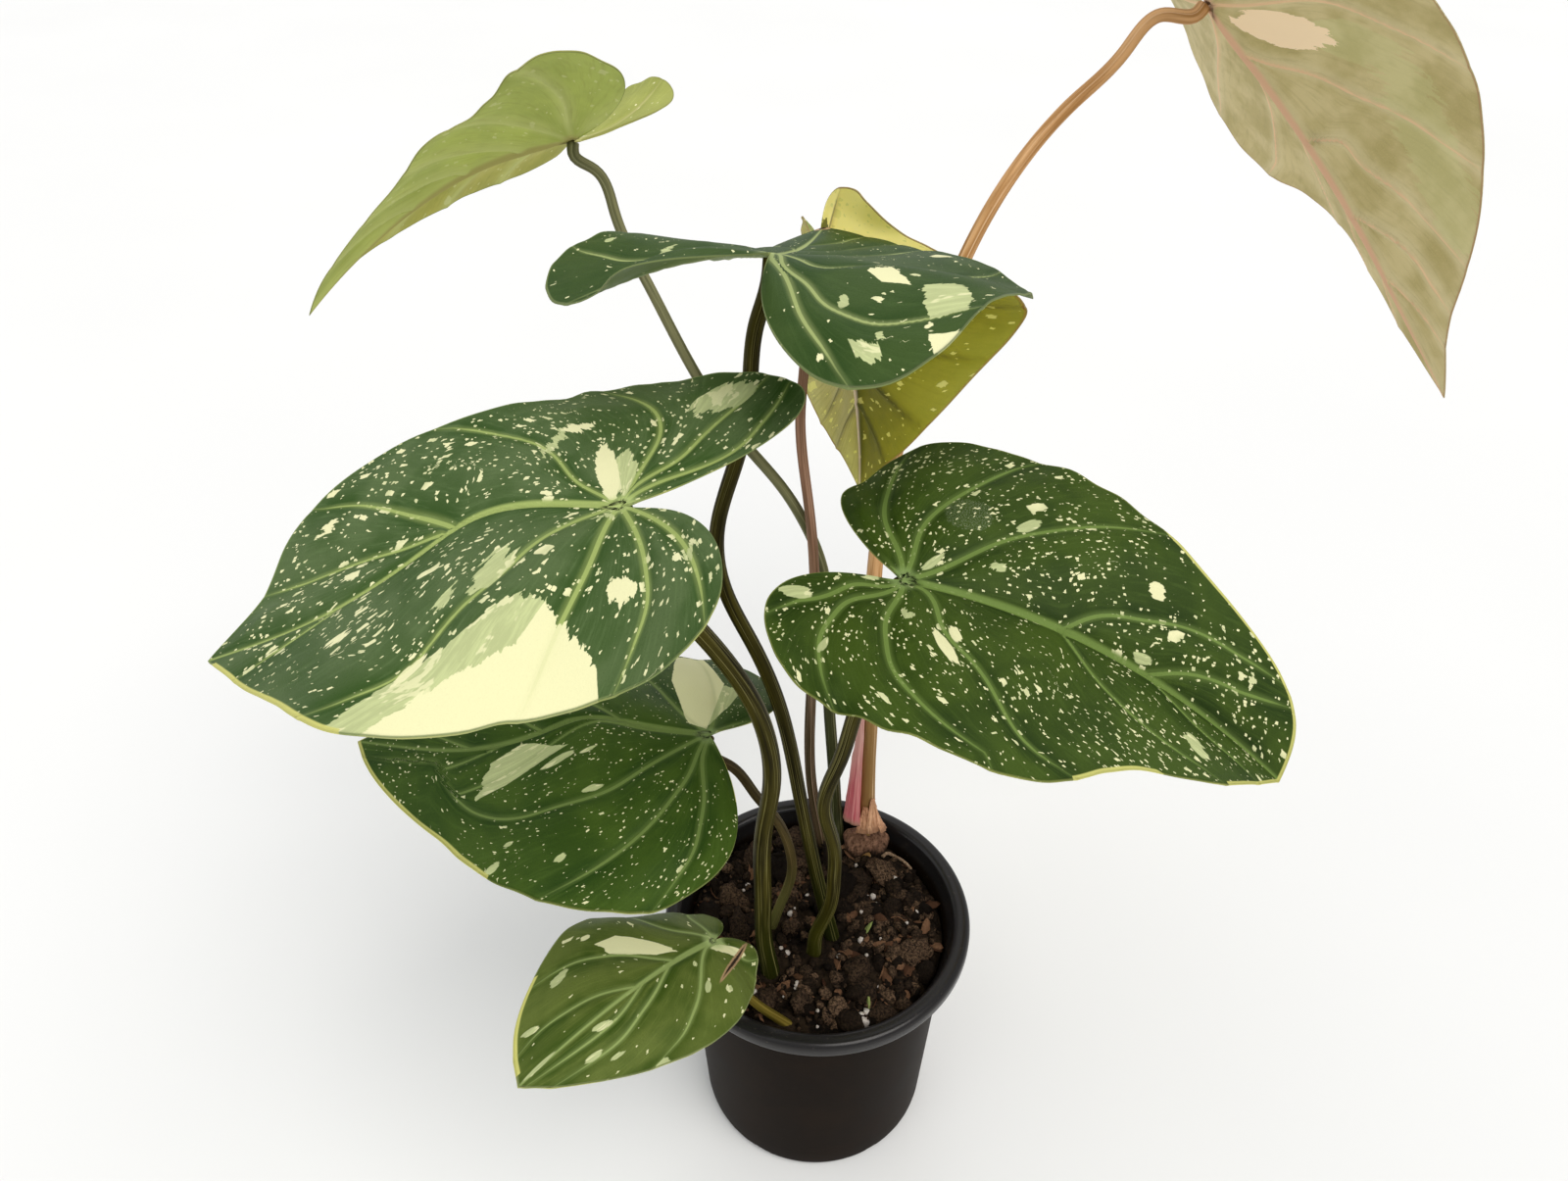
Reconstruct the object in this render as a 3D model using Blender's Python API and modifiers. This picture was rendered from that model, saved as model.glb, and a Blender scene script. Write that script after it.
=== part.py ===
"""A variegated gloriosum in a nursery pot: soil, eight heart-shaped leaves on long stalks, crown and sheath.

Metres, +Z up. The origin is the centre of the pot's underside, and the plant is seen from -Y.
"""

import math
import random

import bmesh
import bpy
import numpy as np
from mathutils import Matrix, Vector

MM = 0.001
GAP = 0.0003

# Pot
POT_HEIGHT = 0.096
LIP_RADIUS = 0.0525
LIP_HEIGHT = 0.0054
FOOT_RADIUS = 0.0410
WALL_TOP_RADIUS = 0.0452
WALL_TOP_HEIGHT = 0.086
WALL = 0.0012
FLOOR = 0.0016
POT_SEGMENTS = 48
FLOOR_ROUND_TOP = 0.003
DRAIN_HOLES = 6
DRAIN_HOLE_RADIUS = 0.0035
DRAIN_HOLE_SIDES = 12
DRAIN_CUTTER_DEPTH = 0.008
DRAIN_CIRCLE_RADIUS = 0.026
FOOT_NOTCHES = 6
FOOT_NOTCH_WIDTH = 0.014
FOOT_NOTCH_HEIGHT = 0.0032
FOOT_NOTCH_SIDES = 32
FOOT_CUTTER_DEPTH = 0.009

# Soil
SOIL_LEVEL = 0.0888
SOIL_MOUND = 0.0025
SOIL_TILT = (-0.025, -0.012)
SOIL_RINGS = 11
SOIL_LUMPS = 46
SOIL_LUMP_CIRCLE = 0.040
SOIL_LUMP_HEIGHTS = (-0.00096, 0.0016)
SOIL_LUMP_RADII = (0.00252, 0.00546)
SOIL_SEED = 7
SOIL_FOOT_ROUND = 0.0012
SOIL_SIDE_FOOT = 0.0042

# Crown, sheath and dried root
CROWN_CENTRE = (0.0183, 0.0333, 0.0935)
CROWN_RADII = (0.0067, 0.0060, 0.0092)
CROWN_KNOBS = 0.00025
SHEATH_ABOVE_FOOT = 0.0036
SHEATH_HEIGHT = 0.047
SHEATH_THICKNESS = 0.0008
SHEATH_FLARE = 0.0026
SHEATH_FOOT_WIDTH = 0.0072
SHEATH_TIP_WIDTH = 0.0020
SHEATH_TURN = 332
SHEATH_LEVELS = 9
SHEATH_STRIPS = 8
ROOT_RADIUS = 0.0007
ROOT_STATIONS = 12

# Blades
BLADE_THICKNESS = 0.0009
BLADE_TURN_STEPS = (0, 5, 12, 22, 38, 58, 80, 101, 120, 136, 149, 160, 170, 180)
BLADE_RINGS = (0.15, 0.35, 0.55, 0.74, 0.89, 1.0)
# A blade is drawn by ribs that leave its junction at these turns from the tip, in degrees,
# were the notch shut.
REACH_TURNS = (0, 7, 17, 34, 58, 88, 118, 143, 162, 180)
RISE_TURNS = (0, 20, 50, 88, 122, 150, 180)

# Stalks
STALK_SIDES = 2
STALK_STEP = 0.0095
STALK_DEPTH_IN_SOIL = 0.012
STALK_STRAIGHT = 0.005
TAPER_START = 0.06
KNEE = 0.0035
HOLE_SIDES = 16
HOLE_ABOVE_FOOT = 0.012

# Each leaf: junction in mm, the way its tip points (heading, pitch down, roll), the fold along the midrib,
# the midrib's sideways sweep, the half angles of the notch, and for each side, from the tip to the notch,
# the ribs' reach and the rise of their ends in mm. The stalk's foot on the soil and the points that it
# passes are in mm too, with its radius at the foot and at the junction.
LEAVES = {
    "front_left": dict(
        junction=(-46, -49, 294), heading=181, pitch=9, roll=1, fold=8, sweep=0.09, notch=(31, 11),
        left_reach=(97, 90, 83, 75, 70, 54, 49, 48, 28, 3), left_rise=(-19, -14, -7, -11, -7, 5, 0),
        right_reach=(97, 88, 86, 76, 58, 52, 49, 52, 43, 3), right_rise=(-19, -6, 4, 2, 5, 5, 0),
        foot=(-16, -21, 90), radii=(2.8, 2.2), colour=(0.045, 0.120, 0.045),
        path=((-18, -23, 111), (-18, -26, 134), (-18, -28, 155), (-17, -30, 173), (-15, -32, 190),
              (-15, -34, 204), (-17, -36, 218), (-21, -39, 233), (-30, -43, 253)),
    ),
    "front_right": dict(
        junction=(16, -39, 267), heading=-9, pitch=7, roll=9, fold=12, sweep=-0.07, notch=(41, 11),
        left_reach=(101, 101, 86, 69, 62, 53, 52, 39, 31, 3), left_rise=(-37, -4, 4, 3, -4, -5, 0),
        right_reach=(101, 91, 81, 66, 61, 49, 45, 40, 28, 3), right_rise=(-37, -15, 2, 6, 5, 9, 0),
        foot=(-1.5, -14, 90), radii=(2.3, 2.0), colour=(0.025, 0.085, 0.020),
        path=((-1, -16, 103), (3, -19, 122), (4, -21, 141), (3, -24, 159), (0, -26, 176), (4, -30, 200),
              (7, -32, 218)),
    ),
    "top_middle": dict(
        junction=(-14, 2, 329), heading=81, pitch=22, roll=3, fold=1, sweep=0.0, notch=(15, -3),
        left_reach=(91, 90, 78, 67, 55, 53, 48, 41, 37, 3), left_rise=(9, -3, 0, -6, -16, -8, 0),
        right_reach=(91, 89, 79, 67, 61, 59, 57, 59, 42, 3), right_rise=(9, 6, 3, -3, -6, -23, 0),
        foot=(5, -7, 90), radii=(2.3, 1.9), colour=(0.040, 0.105, 0.040),
        path=((1, -6, 111), (-2, -5, 128), (-7, -4, 160), (-12, -3, 190), (-20, -2, 216), (-28, -2, 238),
              (-29, -1, 255), (-24, 0, 274), (-20, 0, 293), (-18, 1, 312)),
    ),
    "young_hanging": dict(
        junction=(1, 109, 287), heading=-13, pitch=64, roll=-32, fold=16, sweep=0.04, notch=(49, 29),
        left_reach=(81, 70, 67, 64, 68, 50, 36, 27, 19, 3), left_rise=(-22, -21, -18, -4, 3, 4, 0),
        right_reach=(81, 75, 70, 61, 56, 54, 43, 39, 27, 3), right_rise=(-22, -4, 36, 28, 12, 8, 0),
        foot=(2.5, 37, 90), radii=(2.0, 1.6), colour=(0.330, 0.310, 0.060),
        path=((-1, 44, 108), (-2, 55, 136), (-1, 64, 163), (-1, 74, 187), (-3, 83, 208), (-6, 93, 237),
              (-5, 102, 265)),
    ),
    "back_left": dict(
        junction=(-77, 118, 320), heading=184, pitch=2, roll=29, fold=18, sweep=-0.08, notch=(47, 11),
        left_reach=(89, 82, 71, 57, 50, 44, 52, 50, 40, 3), left_rise=(-47, -27, -9, 1, 10, 8, 0),
        right_reach=(89, 86, 76, 59, 53, 50, 49, 43, 32, 3), right_rise=(-47, -23, -5, 10, 28, 19, 0),
        foot=(8.5, 37, 90), radii=(2.2, 1.6), colour=(0.280, 0.420, 0.090),
        path=((7, 47, 112), (5, 56, 136), (4, 67, 161), (3, 78, 180), (-4, 84, 199), (-12, 89, 211),
              (-25, 92, 227), (-41, 97, 251), (-56, 105, 280), (-65, 111, 300), (-71, 115, 312)),
    ),
    "back_right": dict(
        junction=(127, 167, 349), heading=-18, pitch=40, roll=-33, fold=15, sweep=-0.09, notch=(46, 41),
        left_reach=(152, 131, 111, 97, 93, 83, 78, 72, 58, 3), left_rise=(-32, -6, 3, 14, 27, 21, 0),
        right_reach=(152, 134, 120, 104, 91, 85, 79, 73, 58, 3), right_rise=(-32, -10, 7, 7, 6, 9, 0),
        foot=(18.6, 35, 98), radii=(3.0, 2.1), colour=(0.360, 0.330, 0.180),
        path=((19, 46, 121), (20, 59, 144), (20, 72, 168), (22, 86, 195), (28, 100, 222), (38, 115, 250),
              (51, 130, 280), (67, 143, 304), (85, 153, 322), (101, 160, 336), (113, 165, 346)),
    ),
    "low_left": dict(
        junction=(-32, -25, 204), heading=171, pitch=-7, roll=5, fold=-7, sweep=0.01, notch=(51, 47),
        left_reach=(101, 95, 85, 72, 64, 56, 51, 43, 31, 3), left_rise=(-28, -30, -26, -21, -16, -9, 0),
        right_reach=(101, 90, 80, 68, 59, 54, 52, 45, 31, 3), right_rise=(-28, -19, -15, -14, -15, -12, 0),
        foot=(-16, -3, 90), radii=(1.7, 1.4), colour=(0.030, 0.105, 0.020),
        path=((-12, -6, 109), (-9, -10, 128), (-10, -13, 144), (-14, -16, 160), (-20, -19, 174),
              (-27, -22, 189)),
    ),
    "small_low": dict(
        junction=(-33, -34, 125), heading=225, pitch=-25, roll=-7, fold=-6, sweep=-0.03, notch=(3, 17),
        left_reach=(60, 55, 48, 40, 31, 21, 18, 17, 15, 3), left_rise=(-35, -23, -9, -5, -9, -5, 0),
        right_reach=(60, 58, 55, 49, 42, 33, 29, 25, 19, 3), right_rise=(-35, -31, -18, -19, -17, -11, 0),
        foot=(-12.5, -39, 90), radii=(1.5, 1.2), colour=(0.040, 0.150, 0.030),
        path=((-17, -39, 95), (-24, -38, 104), (-30, -36, 114)),
    ),
}


def clear_scene():
    for obj in list(bpy.data.objects):
        bpy.data.objects.remove(obj, do_unlink=True)


def new_collection(name, hidden=False):
    collection = bpy.data.collections.new(name)
    collection.hide_render = hidden
    bpy.context.scene.collection.children.link(collection)
    return collection


def material(name, colour, roughness, metallic=0.0):
    made = bpy.data.materials.new(name)
    made.use_nodes = True
    shader = made.node_tree.nodes["Principled BSDF"]
    shader.inputs["Base Color"].default_value = (*colour, 1.0)
    shader.inputs["Roughness"].default_value = roughness
    shader.inputs["Metallic"].default_value = metallic
    return made


def add_object(name, data, collection, look=None):
    obj = bpy.data.objects.new(name, data)
    collection.objects.link(obj)
    if look:
        data.materials.append(look)
    return obj


def object_from_bmesh(name, bm, collection, look=None):
    bmesh.ops.recalc_face_normals(bm, faces=bm.faces)
    mesh = bpy.data.meshes.new(name)
    bm.to_mesh(mesh)
    bm.free()
    mesh.shade_smooth()
    return add_object(name, mesh, collection, look)


def cut(obj, cutter):
    """Cuts one solid from another, and leaves the cutter as a wire that no render shows."""
    cutter.hide_render = True
    cutter.display_type = "WIRE"
    modifier = obj.modifiers.new("cut by " + cutter.name, "BOOLEAN")
    modifier.operation = "DIFFERENCE"
    modifier.solver = "EXACT"
    modifier.object = cutter


def smooth_curve(knots, values):
    """The natural cubic through these values, as a function of the knots' own number."""
    knots = np.asarray(knots, float)
    values = np.asarray(values, float)
    steps = np.diff(knots)
    slopes = np.diff(values, axis=0) / (steps if values.ndim == 1 else steps[:, None])
    count = len(knots)
    system = np.eye(count)
    right = np.zeros_like(values)
    for i in range(1, count - 1):
        system[i, i - 1:i + 2] = steps[i - 1], 2 * (steps[i - 1] + steps[i]), steps[i]
        right[i] = 6 * (slopes[i] - slopes[i - 1])
    bends = np.linalg.solve(system, right)

    def at(number):
        i = min(max(int(np.searchsorted(knots, number, side="right")) - 1, 0), count - 2)
        step = steps[i]
        before = knots[i + 1] - number
        after = number - knots[i]
        ends = values[i] * before / step + values[i + 1] * after / step
        curve = bends[i] * (before**3 / step - step * before)
        curve += bends[i + 1] * (after**3 / step - step * after)
        return ends + curve / 6

    return at


def leaf_frame(leaf):
    """The axes of a blade at its junction: forward to the tip, left, and up from its upper face."""
    turn = Matrix.Rotation(math.radians(leaf["heading"]), 3, "Z")
    tip_down = Matrix.Rotation(math.radians(leaf["pitch"]), 3, "Y")
    lean = Matrix.Rotation(math.radians(leaf["roll"]), 3, "X")
    return turn @ tip_down @ lean


def junction(leaf):
    return Vector(leaf["junction"]) * MM


def blade_surface(leaf):
    """Gives a function of side, turn and share of the rib's length that returns a point of the upper face."""
    frame = leaf_frame(leaf)
    middle = junction(leaf)
    length = leaf["left_reach"][0] * MM
    slope = math.tan(math.radians(leaf["fold"]))
    reach = {}
    rise = {}
    for side, name in ((1, "left"), (-1, "right")):
        reach[side] = smooth_curve(REACH_TURNS, leaf[name + "_reach"])
        rise[side] = smooth_curve(RISE_TURNS, leaf[name + "_rise"])
    notch = {1: leaf["notch"][0], -1: leaf["notch"][1]}

    def at(side, turn, share):
        angle = math.radians(turn * (180 - notch[side]) / 180)
        rib = float(reach[side](turn)) * MM
        end = float(rise[side](turn)) * MM
        forward = share * rib * math.cos(angle)
        left = side * share * rib * math.sin(angle)
        left += leaf["sweep"] * max(forward, 0) ** 2 / length
        start = slope * abs(math.sin(angle)) * rib
        up = start * share + (end - start) * share**2
        return middle + frame @ Vector((forward, left, up))

    return at


def blade(name, leaf, collection):
    """The upper face as rings of points round the junction, drawn down along the blade's own upward axis."""
    surface = blade_surface(leaf)
    ribs = [(-1, turn) for turn in reversed(BLADE_TURN_STEPS)]
    ribs += [(1, turn) for turn in BLADE_TURN_STEPS[1:]]
    bm = bmesh.new()
    centre = bm.verts.new(junction(leaf))
    rows = [[bm.verts.new(surface(side, turn, share)) for share in BLADE_RINGS] for side, turn in ribs]
    for row, following in zip(rows, rows[1:]):
        bm.faces.new((centre, row[0], following[0]))
        for i in range(len(BLADE_RINGS) - 1):
            bm.faces.new((row[i], row[i + 1], following[i + 1], following[i]))
    bmesh.ops.triangulate(bm, faces=bm.faces)
    drawn = bmesh.ops.extrude_face_region(bm, geom=bm.faces, use_keep_orig=True)["geom"]
    under = [item for item in drawn if isinstance(item, bmesh.types.BMVert)]
    bmesh.ops.translate(bm, verts=under, vec=-BLADE_THICKNESS * leaf_frame(leaf).col[2])
    return object_from_bmesh("blade_" + name, bm, collection, material("blade " + name, leaf["colour"], 0.38))


def stalk_line(leaf):
    """The stalk's centre line: straight in the soil, along its points, and square to the blade at the top."""
    foot = Vector(leaf["foot"]) * MM
    points = [Vector(point) * MM for point in leaf["path"]]
    rising = (points[0] - foot).normalized()
    upward = leaf_frame(leaf).col[2]
    top_radius = leaf["radii"][1] * MM
    droop = max(0.0, -math.tan(math.radians(leaf["fold"]))) * top_radius
    under = BLADE_THICKNESS + GAP + droop
    line = [foot - rising * STALK_DEPTH_IN_SOIL, foot - rising * STALK_DEPTH_IN_SOIL / 2, foot]
    line += [foot + rising * STALK_STRAIGHT, *points]
    line += [junction(leaf) - upward * (under + distance) for distance in (KNEE, 0)]
    return line, rising


def curve_through(line):
    """The smooth curve through a line's points, by the length along it, and its whole length."""
    lengths = np.cumsum([0] + [(b - a).length for a, b in zip(line, line[1:])])
    return smooth_curve(lengths, np.array([tuple(point) for point in line])), lengths[-1]


def along(line):
    """Points at an even step on the smooth curve through a line's points, with the share of its length."""
    curve, whole = curve_through(line)
    first = STALK_DEPTH_IN_SOIL + STALK_STRAIGHT
    last = whole - 1.5 * KNEE
    middle = np.linspace(first, last, 1 + math.ceil((last - first) / STALK_STEP))
    knee = whole - np.array([0.6, 0]) * KNEE
    stations = np.concatenate([[0, STALK_DEPTH_IN_SOIL], middle, knee])
    return [(Vector(curve(length)), length / whole) for length in stations]


def stalk(name, leaf, collection):
    line, _ = stalk_line(leaf)
    stations = along(line)
    foot_radius, top_radius = (radius * MM for radius in leaf["radii"])
    curve = bpy.data.curves.new("stalk_" + name, "CURVE")
    curve.dimensions = "3D"
    curve.bevel_depth = foot_radius
    curve.bevel_resolution = STALK_SIDES
    curve.use_fill_caps = True
    spline = curve.splines.new("POLY")
    spline.points.add(len(stations) - 1)
    for point, (place, share) in zip(spline.points, stations):
        point.co = (*place, 1.0)
        taper = max(0.0, share - TAPER_START)
        point.radius = 1 + (top_radius / foot_radius - 1) * taper
    look = material("stalk " + name, (0.09, 0.085, 0.03), 0.45)
    return add_object("stalk_" + name, curve, collection, look)


def stalk_hole(name, leaf, collection):
    """A straight round cutter along the buried end of a stalk, from just under it to above the soil."""
    line, rising = stalk_line(leaf)
    radius = (leaf["radii"][0] * MM + GAP) / math.cos(math.pi / HOLE_SIDES)
    length = STALK_DEPTH_IN_SOIL + GAP + HOLE_ABOVE_FOOT
    middle = line[0] + rising * (length / 2 - GAP)
    place = Matrix.Translation(middle) @ rising.to_track_quat("Z", "Y").to_matrix().to_4x4()
    return round_cutter("hole_" + name, radius, length, place, collection, HOLE_SIDES)


def wall_radius(height):
    """The outer radius of the pot's wall at a height."""
    share = height / WALL_TOP_HEIGHT
    return FOOT_RADIUS + (WALL_TOP_RADIUS - FOOT_RADIUS) * share


def pot_profile():
    """Half of the pot's section: up the inside, over the rolled lip and down the outside."""
    lip_inside = LIP_RADIUS - 0.0050
    inner_top = WALL_TOP_RADIUS - WALL
    inner_foot = wall_radius(FLOOR_ROUND_TOP) - WALL
    lip_bottom = POT_HEIGHT - LIP_HEIGHT
    return (
        (0, FLOOR),
        (inner_foot - 0.0012, FLOOR),
        (inner_foot, FLOOR_ROUND_TOP),
        (inner_top, WALL_TOP_HEIGHT),
        (inner_top + 0.0007, WALL_TOP_HEIGHT + 0.0035),
        (lip_inside - 0.0003, POT_HEIGHT - 0.0026),
        (lip_inside + 0.0002, POT_HEIGHT - 0.0008),
        (lip_inside + 0.0012, POT_HEIGHT),
        (LIP_RADIUS - 0.0020, POT_HEIGHT),
        (LIP_RADIUS - 0.0006, POT_HEIGHT - 0.0008),
        (LIP_RADIUS, POT_HEIGHT - 0.0026),
        (LIP_RADIUS - 0.0002, lip_bottom + 0.0004),
        (LIP_RADIUS - 0.0009, lip_bottom),
        (LIP_RADIUS - 0.0015, lip_bottom + 0.0012),
        (lip_inside + 0.0006, lip_bottom + 0.0009),
        (WALL_TOP_RADIUS + 0.0008, WALL_TOP_HEIGHT + 0.0026),
        (WALL_TOP_RADIUS, WALL_TOP_HEIGHT),
        (wall_radius(0.0060), 0.0060),
        (wall_radius(0.0012), 0.0014),
        (FOOT_RADIUS - 0.0010, 0),
        (0, 0),
    )


def turned(name, profile, segments, collection, look=None):
    mesh = bpy.data.meshes.new(name)
    points = [(radius, 0, height) for radius, height in profile]
    mesh.from_pydata(points, [(i, i + 1) for i in range(len(points) - 1)], [])
    obj = add_object(name, mesh, collection, look)
    screw = obj.modifiers.new("turn", "SCREW")
    screw.axis = "Z"
    screw.steps = segments
    screw.render_steps = segments
    screw.use_merge_vertices = True
    screw.merge_threshold = 0.0001
    return obj


def round_cutter(name, radius, depth, matrix, collection, segments):
    bm = bmesh.new()
    bmesh.ops.create_cone(bm, cap_ends=True, segments=segments, radius1=radius, radius2=radius, depth=depth)
    bmesh.ops.transform(bm, matrix=matrix, verts=bm.verts)
    return object_from_bmesh(name, bm, collection)


def pot(collection, cutters):
    look = material("black plastic", (0.016, 0.013, 0.012), 0.35)
    obj = turned("pot", pot_profile(), POT_SEGMENTS, collection, look)
    for i in range(DRAIN_HOLES):
        turn = Matrix.Rotation(2 * math.pi * (i + 0.5) / DRAIN_HOLES, 4, "Z")
        place = turn @ Matrix.Translation((DRAIN_CIRCLE_RADIUS, 0, 0))
        hole = round_cutter(
            f"drain_hole_{i}", DRAIN_HOLE_RADIUS, DRAIN_CUTTER_DEPTH, place, cutters, DRAIN_HOLE_SIDES
        )
        cut(obj, hole)
    half_width = FOOT_NOTCH_WIDTH / 2
    radius = (half_width**2 + FOOT_NOTCH_HEIGHT**2) / (2 * FOOT_NOTCH_HEIGHT)
    for i in range(FOOT_NOTCHES):
        turn = Matrix.Rotation(2 * math.pi * i / FOOT_NOTCHES, 4, "Z")
        place = turn @ Matrix.Translation((FOOT_RADIUS, 0, FOOT_NOTCH_HEIGHT - radius))
        lying = place @ Matrix.Rotation(math.pi / 2, 4, "Y")
        notch = round_cutter(f"foot_notch_{i}", radius, FOOT_CUTTER_DEPTH, lying, cutters, FOOT_NOTCH_SIDES)
        cut(obj, notch)
    return obj


def soil_lumps():
    """Seeded places, heights and radii of the lumps on the soil, clear of the wall."""
    dice = random.Random(SOIL_SEED)
    lumps = []
    for _ in range(SOIL_LUMPS):
        turn = dice.uniform(0, 2 * math.pi)
        radius = SOIL_LUMP_CIRCLE * math.sqrt(dice.random())
        height = dice.uniform(*SOIL_LUMP_HEIGHTS)
        width = dice.uniform(*SOIL_LUMP_RADII)
        lumps.append((radius * math.cos(turn), radius * math.sin(turn), height, width))
    return lumps


def soil_height(x, y, lumps):
    inner = WALL_TOP_RADIUS - WALL
    level = SOIL_LEVEL + SOIL_MOUND * (1 - (x * x + y * y) / inner**2)
    level += SOIL_TILT[0] * x + SOIL_TILT[1] * y
    for lump_x, lump_y, height, width in lumps:
        level += height * math.exp(-((x - lump_x) ** 2 + (y - lump_y) ** 2) / width**2)
    return level


def soil(collection):
    """The mix as a plug of the pot's inside, with a lumpy top."""
    lumps = soil_lumps()
    bottom = FLOOR + GAP
    foot_radius = wall_radius(FLOOR_ROUND_TOP) - WALL - SOIL_FOOT_ROUND - GAP
    top_radius = WALL_TOP_RADIUS - WALL - GAP
    turns = [2 * math.pi * i / POT_SEGMENTS for i in range(POT_SEGMENTS)]
    bm = bmesh.new()

    def ring(radius, height=None):
        made = []
        for turn in turns:
            x = radius * math.cos(turn)
            y = radius * math.sin(turn)
            made.append(bm.verts.new((x, y, soil_height(x, y, lumps) if height is None else height)))
        return made

    centre = bm.verts.new((0, 0, soil_height(0, 0, lumps)))
    rings = [ring(top_radius * (i + 1) / SOIL_RINGS) for i in range(SOIL_RINGS)]
    rings.append(ring(wall_radius(SOIL_SIDE_FOOT) - WALL - GAP, SOIL_SIDE_FOOT))
    rings.append(ring(foot_radius, bottom))
    under = bm.verts.new((0, 0, bottom))
    for i in range(POT_SEGMENTS):
        after = (i + 1) % POT_SEGMENTS
        bm.faces.new((centre, rings[0][i], rings[0][after]))
        for inner, outer in zip(rings, rings[1:]):
            bm.faces.new((inner[i], outer[i], outer[after], inner[after]))
        bm.faces.new((under, rings[-1][after], rings[-1][i]))
    bmesh.ops.triangulate(bm, faces=bm.faces)
    return object_from_bmesh("soil", bm, collection, material("soil", (0.035, 0.020, 0.012), 0.95))


def ball(name, centre, radii, knobs, collection, look=None):
    """An upright egg with low knobs on it."""
    bm = bmesh.new()
    bmesh.ops.create_uvsphere(bm, u_segments=18, v_segments=11, radius=1)
    for vert in bm.verts:
        turn = math.atan2(vert.co.y, vert.co.x)
        flat = 1 - abs(vert.co.z) ** 3
        out = knobs * flat * (math.sin(5 * turn + 4 * vert.co.z) + math.sin(3 * turn - 7 * vert.co.z))
        vert.co = Vector(centre) + Vector([c * (r + out) for c, r in zip(vert.co, radii)])
    return object_from_bmesh(name, bm, collection, look)


def crown(collection):
    """The knobbly stem base that the newest stalk grows from."""
    look = material("crown", (0.16, 0.095, 0.055), 0.8)
    return ball("crown", CROWN_CENTRE, CROWN_RADII, CROWN_KNOBS, collection, look)


def sheath(collection):
    """A papery strip bent part way round the newest stalk, narrowing to its tip."""
    leaf = LEAVES["back_right"]
    line, _ = stalk_line(leaf)
    curve, _ = curve_through(line)
    start = STALK_DEPTH_IN_SOIL + SHEATH_ABOVE_FOOT
    bm = bmesh.new()
    rows = []
    for i in range(SHEATH_LEVELS):
        share = i / (SHEATH_LEVELS - 1)
        length = start + SHEATH_HEIGHT * share
        middle = Vector(curve(length))
        rising = (Vector(curve(length + MM)) - Vector(curve(length - MM))).normalized()
        side = rising.cross(Vector((0, 1, 0))).normalized()
        back = side.cross(rising)
        radius = leaf["radii"][0] * MM + 1.4 * GAP + SHEATH_FLARE * (1 - share)
        width = SHEATH_FOOT_WIDTH + (SHEATH_TIP_WIDTH - SHEATH_FOOT_WIDTH) * share**1.3
        half = width / 2 / radius
        row = []
        for j in range(SHEATH_STRIPS + 1):
            angle = math.radians(SHEATH_TURN) + half * (2 * j / SHEATH_STRIPS - 1)
            row.append(bm.verts.new(middle + radius * (side * math.cos(angle) + back * math.sin(angle))))
        rows.append(row)
    for row, following in zip(rows, rows[1:]):
        for j in range(SHEATH_STRIPS):
            bm.faces.new((row[j], row[j + 1], following[j + 1], following[j]))
    bmesh.ops.triangulate(bm, faces=bm.faces)
    obj = object_from_bmesh("sheath", bm, collection, material("sheath", (0.55, 0.09, 0.13), 0.6))
    middle = Vector(curve(start))
    first = obj.data.polygons[0]
    if first.normal.dot(first.center - middle) < 0:
        obj.data.flip_normals()
    thickness = obj.modifiers.new("thickness", "SOLIDIFY")
    thickness.thickness = SHEATH_THICKNESS
    thickness.offset = 1
    return obj


def dried_root(collection):
    """A thin dry root that lies on the soil from the crown towards the wall."""
    lumps = soil_lumps()
    places = ((24.6, 28.2), (26.6, 30.2), (29.0, 29.8), (31.2, 27.6), (33.0, 25.6), (35.0, 24.0))
    lift = ROOT_RADIUS + 2 * GAP
    line = [Vector((x * MM, y * MM, soil_height(x * MM, y * MM, lumps) + lift)) for x, y in places]
    smooth, whole = curve_through(line)
    curve = bpy.data.curves.new("dried_root", "CURVE")
    curve.dimensions = "3D"
    curve.bevel_depth = ROOT_RADIUS
    curve.bevel_resolution = STALK_SIDES
    curve.use_fill_caps = True
    spline = curve.splines.new("POLY")
    stations = np.linspace(0, whole, ROOT_STATIONS)
    spline.points.add(len(stations) - 1)
    for point, length in zip(spline.points, stations):
        point.co = (*smooth(length), 1.0)
    return add_object("dried_root", curve, collection, material("dried root", (0.30, 0.19, 0.11), 0.85))


def main():
    clear_scene()
    parts = new_collection("Potted variegated gloriosum")
    cutters = new_collection("Cutters", hidden=True)
    pot(parts, cutters)
    earth = soil(parts)
    cut(earth, ball("hole_crown", CROWN_CENTRE, [r + 2 * GAP for r in CROWN_RADII], 0, cutters))
    stem = crown(parts)
    sheath(parts)
    dried_root(parts)
    for name, leaf in LEAVES.items():
        blade(name, leaf, parts)
        stalk(name, leaf, parts)
        hole = stalk_hole(name, leaf, cutters)
        cut(earth, hole)
        if name == "back_right":
            cut(stem, hole)


main()
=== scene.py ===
# %% [markdown]
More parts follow.
